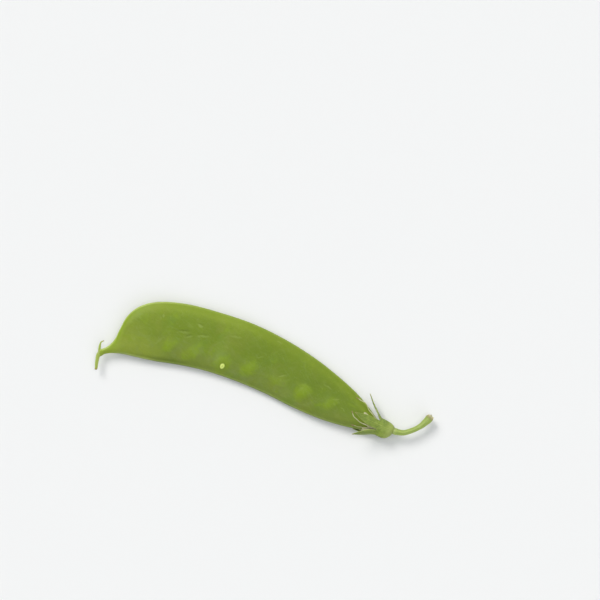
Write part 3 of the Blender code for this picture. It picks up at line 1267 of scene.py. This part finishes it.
@dataclass
class Pod:
    """The pod: two flat valves over a row of peas, a bead of suture along each edge, beak and neck."""

    bench: Bench
    lie: Lie
    rings: int = 340
    valve_steps: int = 58
    bead_steps: int = 13
    ventral: Bead = Bead(0.6, 0.28, 0.75, 0.24, 0.22, 1.0, 0.75, 0.5, Sway(0.14, 6.3, 2.0))
    dorsal: Bead = Bead(0.42, 0.25, 0.65, 0.08, 0.3, 0.8, 0.65, 0.45, Sway(0.2, 5.6, 0.4))
    ventral_proud: float = 0.15
    fullness: float = 3.0
    trough: float = 0.05
    skin_wave: float = 0.1
    softness: float = 0.1
    beak_dome: float = 0.45
    glow_turn: float = 56.0
    glow_stretch: float = 1.65
    peas: tuple[Pea, ...] = (
        Pea(19.4, 6.1, 2.4, 0.3, 1.0),
        Pea(27.9, 5.2, 2.9, 0.38, 1.0),
        Pea(38.7, 4.4, 2.8, 0.42, 1.15),
        Pea(48.3, 5.6, 3.0, 0.46, 1.0),
        Pea(58.6, 5.8, 2.8, 0.44, 0.72),
        Pea(69.0, 6.3, 2.8, 0.44, 1.15),
        Pea(78.7, 5.9, 2.5, 0.34, 0.9),
    )

    def build(self) -> None:
        """Makes the pod."""
        patch = Patch.grid(*self.surface())
        self.bench.set_down("pod_body", patch, PodSkin().make(), Slot.SKIN, ["pod"])

    def surface(self) -> tuple[Array, dict[str, Array]]:
        """The pod's rings of points, and what its finish reads there.

        Returns:
            Rings by points by 3, and the values by name.
        """
        outline = np.concatenate([BEAK_TIP, OUTLINE])
        stations = np.column_stack([outline, outline[:, :2] + outline[:, 2:4]])
        rows = smooth(outline, even_places(stations, self.rings, (5, 6)))
        low, high, half = rows[:, :2], rows[:, 2:4], rows[:, 4:5]
        width = np.linalg.norm(high - low, axis=1)[:, None]
        across = (high - low) / width
        offsets, lifts, side = self.section(width, half)
        flat = low[:, None] + across[:, None] * offsets[..., None]
        x, y = flat[..., 0], flat[..., 1]
        up = y - low[:, 1:]
        glow = [pea.glow * pea.under(x, up, self.glow_turn, self.glow_stretch) for pea in self.peas]
        inner = ease(0.3, 3.0, np.minimum(offsets, width - offsets))
        lifts = lifts + side * inner * self.swell(x, y, up, side)
        lifts += np.maximum(side, 0) * Blister().dome(x, y)
        sway = self.dorsal.sway.lift(x) * ease(0.5, 1.0, offsets / width)
        sway += self.ventral.sway.lift(x) * ease(0.5, 0.0, offsets / width)
        fade = ease(0.0, 14.0, x) * ease(98.0, 84.0, x)
        height = self.settled(self.lie.height(x, y) + lifts + sway * fade)
        run = np.linspace(0, POD_LENGTH, self.rings)[:, None] * np.ones_like(x)
        values = {
            "drawn": np.stack([x, y, side], axis=-1),
            "skin": np.stack([run, offsets, width - offsets], axis=-1),
            "pea": np.max(glow, axis=0),
        }
        return self.rounded(np.stack([x, y, height], axis=-1), values)

    def swell(self, x: Array, y: Array, up: Array, side: Array) -> Array:
        """How far the peas and the skin's gentle waves stand out of each valve.

        Args:
            x: along the pod.
            y: across the pod.
            up: distance across from the ventral edge.
            side: 1 on the upper valve and -1 on the lower.

        Returns:
            The swelling at each point.
        """
        bulge = sum(pea.rise * pea.under(x, up) for pea in self.peas)
        upper, lower = ripple(x, y, Seed.UPPER_VALVE, 17.0), ripple(x, y, Seed.LOWER_VALVE, 14.0)
        return bulge + np.where(side > 0, upper, lower) * self.skin_wave

    def settled(self, height: Array) -> Array:
        """Heights with whatever would go through the table pressed softly flat on it."""
        above = (height + np.sqrt(height**2 + self.softness**2)) / 2
        return above - 0.01 * hump(height, 0.0, 0.3)

    def section(self, width: Array, half: Array) -> tuple[Array, Array, Array]:
        """The pod's cross-section at each ring: upper valve, dorsal bead, lower valve, ventral bead.

        Args:
            width: from edge to edge.
            half: half the thickness.

        Returns:
            Distance from the ventral edge, height over the middle plane, and the side, 1 up and -1 down.
        """
        ventral, dorsal = self.ventral.size(width, half), self.dorsal.size(width, half)
        even = np.linspace(0, 1, self.valve_steps)[None]
        share = 0.35 * even + 0.65 * (0.5 - 0.5 * np.cos(math.pi * even))
        offset = ventral + share * (width - ventral - dorsal)
        edge = ventral + (dorsal - ventral) * share
        rise = 1 - np.abs(2 * share - 1) ** self.fullness
        dip = self.ventral.dip(ventral, offset) + self.dorsal.dip(dorsal, width - offset)
        lift = edge + (half - edge) * rise - self.trough * dip * ease(4.0, 12.0, width)
        angle = np.linspace(math.pi / 2, -math.pi / 2, self.bead_steps)[None, 1:-1]
        far, near = self.dorsal.grooved(dorsal, angle), self.ventral.grooved(ventral, angle)
        under = ventral - near * np.cos(angle) - self.ventral_proud * np.cos(angle)
        offsets = [offset, width - dorsal + far * np.cos(angle), offset[:, ::-1], under]
        lifts = [lift, far * np.sin(angle), -lift[:, ::-1], -near * np.sin(angle)]
        valve, bead, ones = np.ones_like(even), np.sin(angle), np.ones_like(width)
        sides = [valve * ones, bead * ones, -valve * ones, -bead * ones]
        return np.concatenate(offsets, 1), np.concatenate(lifts, 1), np.concatenate(sides, 1)

    def rounded(self, points: Array, values: dict[str, Array]) -> tuple[Array, dict[str, Array]]:
        """Adds a dome of rings to the beak's end.

        Args:
            points: the rings.
            values: the finish's values.

        Returns:
            The same, with the dome's rings first.
        """
        centre = points[0].mean(axis=0)
        out = unit(centre - points[3].mean(axis=0))
        rings = []
        for angle in np.linspace(math.pi / 2, 0, 8)[:-1]:
            shrink = max(math.cos(angle), 0.05)
            rings.append(centre + (points[0] - centre) * shrink + out * self.beak_dome * math.sin(angle))
        grown = {}
        for name, value in values.items():
            grown[name] = np.concatenate([np.repeat(value[:1], len(rings), 0), value])
        return np.concatenate([np.array(rings), points]), grown


@dataclass
class Style:
    """What is left of the flower's style: a flat thread across the beak's tip, and a torn spur beyond it."""

    bench: Bench
    # x, y, z, half width and half thickness
    thread: Array = table(
        (-2.1, -1.2, 3.05, 0.5, 0.4),
        (-2.75, -2.0, 3.1, 0.74, 0.5),
        (-3.15, -2.9, 3.14, 0.78, 0.5),
        (-3.22, -4.1, 3.2, 0.68, 0.45),
        (-3.02, -5.5, 3.3, 0.6, 0.42),
        (-2.7, -7.0, 3.42, 0.53, 0.38),
        (-2.5, -8.05, 3.52, 0.46, 0.38),
    )
    spur: Array = table(
        (-3.0, -2.6, 3.15, 0.55, 0.4),
        (-3.42, -1.5, 3.2, 0.48, 0.34),
        (-3.62, -0.5, 3.28, 0.4, 0.26),
        (-3.72, 0.5, 3.4, 0.33, 0.18),
        (-3.66, 1.3, 3.5, 0.27, 0.14),
        (-3.3, 1.75, 3.55, 0.22, 0.11),
        (-2.85, 2.15, 3.55, 0.12, 0.08),
    )
    ribs: int = 7

    def relief(self, along: Array, angle: Array) -> Array:
        """Fine ribs that wind a little, a groove on one side and a few pinches.

        Args:
            along: the run along the thread.
            angle: the angle round it.

        Returns:
            A factor on the radius.
        """
        ribs = 0.05 * np.cos(self.ribs * angle + along * 0.35)
        groove = -0.22 * hump(np.mod(angle - math.pi / 2 - along * 0.06, FULL_TURN), math.pi, 0.3)
        return 1 + ribs + groove + 0.06 * ripple(along, angle * 0.7, Seed.STYLE, 1.6)

    def build(self) -> None:
        """Makes the style, thread and spur in one piece."""
        thread = Tube(self.thread, rings=90, sides=40, dome=(0.4, 0.9)).patch(self.relief)
        spur = Tube(self.spur, rings=50, sides=24, dome=(0.4, 0.5)).patch(self.relief)
        patch = Patch.joined([thread, spur])
        patch.values["drawn"] = patch.points
        self.bench.set_down("style_thread", patch, StyleSkin().make(), Slot.STYLE, ["style"])


@dataclass(frozen=True)
class Sepal:
    """A lobe of the calyx: its place round the cup, sizes, lean at the root, curl and twist at the tip."""

    node: str
    place: float
    length: float
    width: float
    lean: float
    curl: float
    twist: float
    wave: float


@dataclass
class Calyx:
    """The calyx: a thin five-lobed bell that the pod's neck stands in, drawn on its own axis to the stalk."""

    bench: Bench
    lie: Lie
    mouth: tuple[float, float] = (97.6, 3.15)
    turn: float = -6.0
    # along the axis, shift to the dorsal side, half width and half height, from the base to the rim
    cup: Array = table(
        (5.35, 0.8, 0.95, 0.95),
        (4.95, 0.6, 1.75, 1.55),
        (3.9, 0.1, 2.55, 2.1),
        (2.4, -0.1, 2.93, 2.32),
        (0.9, 0.0, 2.95, 2.35),
        (0.0, 0.0, 2.88, 2.28),
    )
    sepals: tuple[Sepal, ...] = (
        Sepal("sepal_dorsal", 0, 9.7, 3.5, 34, 14, 14, 0.5),
        Sepal("sepal_upper_side", 72, 10.2, 3.4, 11, 10, -16, 1.7),
        Sepal("sepal_upper_ventral", 146, 8.8, 3.6, 20, 18, 12, 2.9),
        Sepal("sepal_lower_ventral", 216, 8.2, 3.4, 18, 2, -8, 4.0),
        Sepal("sepal_lower_side", 282, 8.8, 3.2, 10, -4, 6, 5.2),
    )
    cup_rows: int = 14
    lobe_rows: int = 26
    lobe_columns: int = 14
    thickness: float = 0.36
    thinnest: float = 0.35

    def point(self, along: Array, dorsal: Array, up: Array) -> Array:
        """Places given on the calyx's axis, in the drawing.

        Args:
            along: from the cup's mouth towards the stalk.
            dorsal: towards the dorsal side.
            up: upwards.

        Returns:
            Points in the drawing.
        """
        turn = math.radians(self.turn)
        x = self.mouth[0] + along * math.cos(turn) - dorsal * math.sin(turn)
        y = self.mouth[1] + along * math.sin(turn) + dorsal * math.cos(turn)
        z = self.lie.height(np.array(self.mouth[0]), np.array(self.mouth[1])) + up
        return np.stack(np.broadcast_arrays(x, y, z), axis=-1)

    def borders(self) -> Array:
        """Where one sepal ends and the next begins.

        Returns:
            The angles round the cup, one more than there are sepals.
        """
        places = [sepal.place for sepal in self.sepals]
        after = places[1:] + [places[0] + 360]
        middles = [(a + b) / 2 for a, b in zip(places, after)]
        return np.radians([middles[-1] - 360, *middles])

    def relief(self, angle: Array, along: Array) -> Array:
        """The cup's ribs under each sepal and the folds between them.

        Args:
            angle: the angle round the cup.
            along: from the cup's mouth towards the stalk.

        Returns:
            A factor on the cup's width and height.
        """
        total = np.ones(np.broadcast(angle, along).shape)
        for sepal in self.sepals:
            away = (angle - math.radians(sepal.place) + math.pi) % FULL_TURN - math.pi
            total += 0.05 * hump(away, 0.0, 0.16) + 0.03 * np.cos(away * 5) * hump(away, 0.0, 0.7)
        return 1 + (total - 1) * ease(5.2, 3.0, along)

    def build(self) -> None:
        """Makes the calyx, cup and sepals in one piece, thinner towards the sepals' edges."""
        patch = self.sheet()
        nodes = ["calyx_cup", *(sepal.node for sepal in self.sepals)]
        piece = self.bench.set_down("calyx_leaf", patch, CalyxSkin().make(), Slot.CALYX, nodes)
        group = piece.vertex_groups.new(name="stout")
        for number, weight in enumerate(patch.values["stout"].tolist()):
            group.add([number], weight, "REPLACE")
        solid = piece.modifiers.new("thickness", "SOLIDIFY")
        solid.thickness = self.thickness * MM
        solid.offset = 0
        solid.vertex_group = group.name
        solid.thickness_vertex_group = self.thinnest
        rounder = piece.modifiers.new("rounder", "SUBSURF")
        rounder.levels = rounder.render_levels = 1

    def sheet(self) -> Patch:
        """The calyx's middle surface: rings of the cup, and rows of each sepal that start on its rim.

        Returns:
            The patch. Its value named leaf holds the share of the way to the tip, the share across and the
            sepal's place, drawn holds the point, and stout the thickness as a share.
        """
        borders = self.borders()
        steps = np.arange(self.lobe_columns) / self.lobe_columns
        angles = [low + (high - low) * steps for low, high in zip(borders, borders[1:])]
        cup, leaf = self.bell(np.concatenate(angles), np.tile(2 * steps - 1, len(self.sepals)))
        count = cup.shape[0] * cup.shape[1]
        index = np.arange(count).reshape(cup.shape[:2])
        points, values, stout = [cup.reshape(-1, 3)], [leaf.reshape(-1, 3)], [np.ones(count)]
        faces = Patch.weave(index, True)
        for number, sepal in enumerate(self.sepals):
            columns = (np.arange(self.lobe_columns + 1) + number * self.lobe_columns) % cup.shape[1]
            span = np.linspace(borders[number], borders[number + 1], self.lobe_columns + 1)
            lobe, told, thick = self.lobe(sepal, span)
            fresh = count + np.arange(lobe.shape[0] * lobe.shape[1]).reshape(lobe.shape[:2])
            faces += Patch.weave(np.vstack([index[-1][columns], fresh]), False)
            count += fresh.size
            points.append(lobe.reshape(-1, 3))
            values.append(told.reshape(-1, 3))
            stout.append(thick.ravel())
        placed = np.concatenate(points)
        told_all = {"leaf": np.concatenate(values), "drawn": placed, "stout": np.concatenate(stout)}
        return Patch(placed, faces, told_all)

    def bell(self, angles: Array, share: Array) -> tuple[Array, Array]:
        """The cup's rings, from its base to its rim.

        Args:
            angles: the angles of its columns.
            share: where each column lies across its sepal.

        Returns:
            The points, and the leaf value at each.
        """
        rows = smooth(self.cup, even_places(self.cup, self.cup_rows, (0, 2)))
        along = rows[:, :1]
        factor = self.relief(angles[None], along)
        dorsal = rows[:, 1:2] + rows[:, 2:3] * factor * np.cos(angles)
        up = rows[:, 3:] * factor * np.sin(angles)
        leaf = np.stack(np.broadcast_arrays(-along / self.cup[0, 0], share[None], 0.0), axis=-1)
        return self.point(along, dorsal, up), leaf

    def lobe(self, sepal: Sepal, angles: Array) -> tuple[Array, Array, Array]:
        """One sepal's rows of points above the rim, its finish's values and its thickness.

        Args:
            sepal: which sepal.
            angles: the angles of its columns at the rim.

        Returns:
            Points, values, and thickness as a share, without the row on the rim.
        """
        place = math.radians(sepal.place)
        outward, sideways = (math.cos(place), math.sin(place)), (-math.sin(place), math.cos(place))
        rim = self.cup[-1]
        factor = self.relief(angles, np.zeros_like(angles))
        rim_dorsal, rim_up = rim[2] * factor * np.cos(angles), rim[3] * factor * np.sin(angles)
        rim_out = rim_dorsal * outward[0] + rim_up * outward[1]
        rim_side = rim_dorsal * sideways[0] + rim_up * sideways[1]
        middle = float(np.interp(0.0, rim_side, rim_out))
        share = np.arange(1, self.lobe_rows + 1)[:, None] / self.lobe_rows
        lean = np.radians(sepal.lean + sepal.curl * share)
        step = sepal.length / self.lobe_rows
        along = -np.cumsum(np.cos(lean) * step)[:, None]
        radial = middle + np.cumsum(np.sin(lean) * step)[:, None]
        mu = np.linspace(-1, 1, len(angles))[None]
        leaf_half = sepal.width / 2 * np.maximum(0.03, np.sin(math.pi * (0.3 + 0.7 * share))) ** 1.05
        free = ease(0.0, 0.3, share)
        side = (1 - free) * rim_side + free * mu * leaf_half
        channel = -((mu * leaf_half) ** 2) / (2 * (middle + sepal.length * share * 0.6))
        keel = 0.1 * hump(mu, 0.0, 0.16) * (1 - share)
        twist = mu * leaf_half * np.tan(np.radians(sepal.twist)) * share**1.5
        frill = 0.1 * np.sin(share * 8 + sepal.wave + mu) * np.abs(mu) ** 2 * free * (1 - share)
        out = radial + (1 - free) * (rim_out - middle) + free * channel + keel * free + twist + frill
        dorsal, up = (outward[axis] * out + sideways[axis] * side for axis in (0, 1))
        points = self.point(along, dorsal, up)
        told = np.stack(np.broadcast_arrays(share, mu, float(sepal.place)), axis=-1)
        stout = np.clip(1.05 - 0.55 * np.abs(mu) ** 2.5 * ease(0.0, 0.2, share) - 0.5 * share**2, 0.15, 1)
        return points, told, stout


@dataclass
class Stalk:
    """The stalk: ridged, bent to the dorsal side, swollen at the end where it was torn from the vine."""

    bench: Bench
    # x, y, z, half width and half height
    path: Array = table(
        (102.4, 3.45, 3.88, 0.9, 0.9),
        (103.2, 3.45, 3.88, 1.17, 1.17),
        (104.2, 3.42, 3.88, 1.14, 1.12),
        (105.5, 3.55, 3.87, 1.03, 1.02),
        (107.2, 4.1, 3.85, 0.95, 0.95),
        (109.6, 5.8, 3.8, 0.9, 0.9),
        (111.8, 8.0, 3.7, 0.98, 0.98),
        (113.1, 10.0, 3.52, 1.22, 1.2),
        (113.8, 11.4, 3.38, 1.36, 1.32),
        (114.15, 12.15, 3.3, 1.18, 1.15),
    )
    ridges: int = 5
    fibre_count: int = 9

    def relief(self, along: Array, angle: Array) -> Array:
        """Ridges that wind slowly, small lumps, and a ring where the stalk joins the calyx.

        Args:
            along: the run along the stalk.
            angle: the angle round it.

        Returns:
            A factor on the radius.
        """
        ridge = 0.055 * np.cos(self.ridges * angle + along * 0.06)
        ring = 0.07 * hump(along, 1.9, 0.3) - 0.05 * hump(along, 2.6, 0.35)
        return 1 + ridge + ring + 0.03 * ripple(along, angle * 1.2, Seed.STALK, 2.4)

    def build(self) -> None:
        """Makes the stalk with the torn fibres at its end."""
        body = Tube(self.path, rings=150, sides=56, dome=(0.3, 0.3), dome_rings=7).patch(self.relief)
        body.points = self.torn(body)
        patch = Patch.joined([body, *self.fibres()])
        patch.values["drawn"] = patch.points
        self.bench.set_down("stalk_stem", patch, StalkSkin().make(), Slot.STALK, ["stalk"])

    def torn(self, body: Patch) -> Array:
        """Roughens the stalk's end.

        Args:
            body: the stalk's surface.

        Returns:
            Its points.
        """
        rough = ease(0.5, 0.0, body.values["run"][:, 2])
        x, y, z = body.points.T
        shift = 0.16 * ripple(x * 1.3, z * 1.3, Seed.TORN_SHIFT, 0.9) * rough
        pull = 0.1 * ripple(y * 1.2, z * 1.4, Seed.TORN_PULL, 0.7) * rough
        return body.points + np.stack([shift * 0.4, shift + pull, pull * 0.5], axis=-1)

    def fibres(self) -> list[Patch]:
        """Short torn fibres that stand out of the stalk's end.

        Returns:
            One patch for each fibre.
        """
        end = self.path[-1, :3]
        out = unit(end - self.path[-2, :3])
        side = np.cross(out, UP)
        draw = np.random.default_rng(Seed.FIBRES.value)
        made = []
        for _ in range(self.fibre_count):
            angle, away = draw.uniform(0, FULL_TURN), draw.uniform(0.35, 0.95)
            foot = end + side * away * math.cos(angle) + UP * away * math.sin(angle)
            lean = side * draw.uniform(-0.3, 0.3) + UP * draw.uniform(-0.3, 0.3)
            length = draw.uniform(0.3, 0.75)
            rows = []
            for step in (-0.3, 0.3, 0.7, 1.0):
                half = 0.1 - 0.05 * step
                rows.append((*(foot + (out * step + lean * step**2) * length), half, half))
            made.append(Tube(np.array(rows), rings=8, sides=8, dome_rings=2).patch())
        return made


@dataclass
class Stamens:
    """Withered stamens: a papery sheath round the pod's neck, short threads on it, and two long ones."""

    bench: Bench
    calyx: Calyx
    pod: Pod
    radius: float = 0.12
    thread_rings: int = 70
    short_rings: int = 40
    short_share: float = 0.8
    crinkle: float = 0.08
    sheath_gap: float = 0.16
    sheath_rows: int = 40
    sheath_from: float = 99.2
    sheath_to: float = 93.0
    film: float = 0.08
    # shares of the way round the sheath at which its short threads stand
    feet: tuple[float, ...] = (0.1, 0.24, 0.4, 0.62, 0.86)
    # along the calyx's axis, place round it in degrees and distance from it, from the cup's mouth to the tip
    upper: Array = table(
        (1.0, 112, 2.0),
        (-0.7, 112, 2.35),
        (-3.0, 111, 2.75),
        (-6.0, 107, 3.2),
        (-9.0, 94, 3.5),
        (-10.3, 74, 3.9),
    )
    dorsal: Array = table(
        (1.0, 33, 2.0),
        (-0.7, 33, 2.5),
        (-2.6, 34, 3.3),
        (-5.2, 33, 4.9),
        (-7.6, 27, 6.6),
        (-10.4, 24, 6.9),
    )

    def on_axis(self, rows: Array) -> Array:
        """Places given round the calyx's axis, in the drawing."""
        along, place, away = rows.T
        return self.calyx.point(along, away * np.cos(np.radians(place)), away * np.sin(np.radians(place)))

    def thread(self, points: Array, radius: float, seed: int, rings: int) -> list[Patch]:
        """One thread with its anther.

        Args:
            points: the thread's way.
            radius: the thread's radius.
            seed: which crinkles.
            rings: how many rings the thread has.

        Returns:
            Two patches.
        """
        taper = np.linspace(1.25, 0.85, len(points))[:, None] * radius
        path = np.hstack([points, taper, taper * 0.6])
        share = np.linspace(0, 1, rings + 2 * Tube.dome_rings)[:, None]
        waves, phases = (17, 23, 19), np.array([0.0, 2.1, 4.0]) + seed
        bends = np.sin(share * waves * rings / self.thread_rings + phases)
        wobble = self.crinkle * bends * ease(0.0, 0.3, share)
        tube = Tube(path, rings, sides=12)
        thread = tube.patch(lambda along, angle: 1 + 0.2 * np.cos(2 * angle + along * 1.1), wobble=wobble)
        end = path[-1, :3] + wobble[rings]
        out = unit(path[-1, :3] - path[-2, :3])
        shape = ((-0.15, 0.1), (0.08, 0.19), (0.42, 0.22), (0.72, 0.12))
        rows = [(*(end + out * step), width, width * 0.65) for step, width in shape]
        tube = Tube(np.array(rows), rings=16, sides=16)
        anther = tube.patch(lambda along, angle: 1 - 0.22 * hump(np.sin(angle), 0.0, 0.35), tip=1.0)
        return [thread, anther]

    def sheath(self) -> tuple[Patch, list[Array]]:
        """The papery tube of fused threads, open along the dorsal side and torn at its edge.

        Returns:
            The patch, and for each short thread the last three points of the sheath's column under it.
        """
        rings, values = self.pod.surface()
        x = rings[:, :, 0].mean(axis=1)
        keep = np.flatnonzero(values["skin"][-1, :, 2] > 0.9)
        breaks = np.flatnonzero(np.diff(keep) > 1)
        if len(breaks):
            keep = np.roll(keep, -int(breaks[0]) - 1)
        around = np.arange(len(keep)) / len(keep)
        edge = self.sheath_to + 1.3 * ripple(around * 9, around * 0, Seed.SHEATH_EDGE, 2.2)
        edge += 0.5 * ripple(around * 40, around * 0, Seed.SHEATH_TEETH, 2.0)
        shares = np.linspace(0, 1, self.sheath_rows)
        reaches = [self.sheath_from + (edge - self.sheath_from) * share for share in shares]
        points = np.array([self.over_pod(rings, x, keep, reach) for reach in reaches])
        folds = ripple(points[..., 0] * 1.3, around * 14, Seed.SHEATH_FOLDS, 3.0) * 0.07 * shares[:, None]
        points = points + self.outward(points) * (self.sheath_gap + folds)[..., None]
        run = np.stack(np.broadcast_arrays(self.sheath_from - points[..., 0], around * 12, 0.0), axis=-1)
        told = {"run": run, "tip": np.zeros(points.shape[:2])}
        columns = (np.array(self.feet) * len(keep)).astype(int)
        return Patch.grid(points, told, ring=False, capped=False), [points[-3:, column] for column in columns]

    @staticmethod
    def over_pod(rings: Array, x: Array, keep: Array, reach: Array) -> Array:
        """Points of the pod's surface, each at its own place along the pod.

        Args:
            rings: the pod's rings of points.
            x: each ring's place along the pod.
            keep: the columns that are wanted.
            reach: the place along the pod that is wanted in each column.

        Returns:
            One point for each column.
        """
        place = np.interp(reach, x, np.arange(len(x)))
        low = np.minimum(place.astype(int), len(x) - 2)
        share = (place - low)[:, None]
        return rings[low, keep] * (1 - share) + rings[low + 1, keep] * share

    @staticmethod
    def outward(points: Array) -> Array:
        """Directions square to a grid of points, away from its middle line.

        Args:
            points: rows by columns by 3.

        Returns:
            A direction for each point.
        """
        normal = np.cross(np.gradient(points, axis=0), np.gradient(points, axis=1))
        normal /= np.linalg.norm(normal, axis=2)[..., None]
        away = points - points.mean(axis=1)[:, None]
        return normal * np.sign((normal * away).sum(axis=2))[..., None]

    def short(self, foot: Array, number: int) -> list[Patch]:
        """A short thread that stands on the sheath's edge.

        Args:
            foot: the last points of the sheath under it.
            number: which thread.

        Returns:
            Its patches.
        """
        edge = foot[-1]
        on = unit(edge - foot[0])
        lift = UP * math.copysign(0.16, edge[2] - 3.9)
        steps = (0.9, 1.9, 2.7 + number * 0.2)
        way = [foot[0], edge, *(edge + on * step + lift * step**0.5 for step in steps)]
        return self.thread(np.array(way), self.radius * self.short_share, number + 5, self.short_rings)

    def build(self) -> None:
        """Makes the two long threads, the sheath and the short threads on it."""
        finish = DryThread().make()
        for name, rows, seed in (("filament_upper", self.upper, 1), ("filament_dorsal", self.dorsal, 2)):
            patch = Patch.joined(self.thread(self.on_axis(rows), self.radius, seed, self.thread_rings))
            self.bench.set_down(f"{name}_thread", patch, finish, Slot.THREAD, [name])
        sheath, feet = self.sheath()
        film = self.bench.set_down("stamen_sheath", sheath, finish, Slot.THREAD, [])
        solid = film.modifiers.new("thickness", "SOLIDIFY")
        solid.thickness = self.film * MM
        solid.offset = 1
        short = [patch for number, foot in enumerate(feet) for patch in self.short(foot, number)]
        self.bench.set_down("short_threads", Patch.joined(short), finish, Slot.THREAD, [])


# ---------------------------------------------------------------- the studio


@dataclass(frozen=True)
class SoftLight:
    """A soft light from far off, the same all over the table."""

    name: str
    place: tuple[float, float, float]
    softness: float
    power: float
    colour: Colour = (1.0, 1.0, 1.0)

    def hang(self) -> None:
        """Hangs the light, turned to the table's middle."""
        lamp = bpy.data.lights.new(self.name, "SUN")
        lamp.angle = math.radians(self.softness)
        lamp.energy = self.power
        lamp.color = self.colour
        made = linked(self.name, lamp)
        made.location = self.place
        made.rotation_euler = Vector(self.place).to_track_quat("Z", "Y").to_euler()


@dataclass
class Studio:
    """A plain pale table with a far wall under soft light, and a camera straight above the pod."""

    bench: Bench
    view_width: float = 210.0
    view_centre: tuple[float, float] = (57.95, 36.86)
    view_height: float = 3.0
    turn: float = 18.0
    lens: float = 100.0
    sensor: float = 36.0
    table_size: float = 12.0
    wall_reach: float = 5.0
    wall_height: float = 1.2
    wall_sides: int = 64
    air: Colour = (0.93, 0.96, 1.0)
    air_strength: float = 0.36
    lights: tuple[SoftLight, ...] = (
        SoftLight("key_light", (-0.6, 0.5, 0.75), 28.0, 1.88, (1.0, 0.985, 0.95)),
        SoftLight("top_light", (0.1, 0.1, 1.1), 50.0, 0.8),
        SoftLight("fill_light", (0.6, -0.5, 0.6), 40.0, 0.3, (0.95, 0.98, 1.0)),
    )

    def build(self) -> None:
        """Sets the camera, lays the table, raises the wall and hangs the lights."""
        self.set_camera()
        self.lay_table()
        self.raise_wall()
        for light in self.lights:
            light.hang()
        world = bpy.data.worlds.new("studio_air")
        bpy.context.scene.world = world
        world.use_nodes = True
        air = world.node_tree.nodes["Background"]
        air.inputs["Color"].default_value = (*self.air, 1.0)
        air.inputs["Strength"].default_value = self.air_strength
        bpy.context.scene.view_settings.view_transform = "Standard"
        LOG.info("studio: %d lights", len(self.lights))

    def set_camera(self) -> None:
        """Puts the camera straight above, turned so that the beak is up to the left."""
        data = bpy.data.cameras.new("camera")
        data.lens = self.lens
        data.sensor_width = self.sensor
        data.clip_start = 0.01
        camera = linked("camera", data)
        distance = self.view_width / 2 * self.lens / (self.sensor / 2)
        centre = np.array([*self.view_centre, self.view_height + distance])
        camera.location = self.bench.place(centre)
        camera.rotation_euler = (0.0, 0.0, math.radians(self.turn))
        bpy.context.scene.camera = camera

    def lay_table(self) -> None:
        """Lays the table's top under the pod."""
        half = self.table_size / 2
        mesh = bpy.data.meshes.new("table")
        corners = [(-half, -half, 0.0), (half, -half, 0.0), (half, half, 0.0), (-half, half, 0.0)]
        mesh.from_pydata(corners, [], [(0, 1, 2, 3)])
        mesh.materials.append(TableTop().make())
        table = linked("table", mesh)

    def raise_wall(self) -> None:
        """Raises a glowing far wall round the table, for what the table's top doesn't reach."""
        angles = np.linspace(0, FULL_TURN, self.wall_sides, endpoint=False)
        ring = np.stack([np.cos(angles), np.sin(angles), angles * 0], axis=-1) * self.wall_reach
        points = np.stack([ring, ring + (0.0, 0.0, self.wall_height)])
        mesh = bpy.data.meshes.new("far_wall")
        faces = Patch.weave(np.arange(2 * len(angles)).reshape(2, -1), True)
        mesh.from_pydata(points.reshape(-1, 3).tolist(), [], faces)
        mesh.materials.append(WallGlow().make())
        wall = linked("far_wall", mesh)
        wall.visible_shadow = False
        wall.visible_diffuse = False


def main() -> None:
    """Builds every sub-assembly in order."""
    logging.basicConfig(level=logging.INFO, format="%(message)s", stream=sys.stdout)
    bench, lie = Bench.under_the_pod(), Lie()
    Studio(bench).build()
    pod = Pod(bench, lie)
    pod.build()
    Style(bench).build()
    calyx = Calyx(bench, lie)
    calyx.build()
    Stalk(bench).build()
    Stamens(bench, calyx, pod).build()


if __name__ == "__main__":
    main()
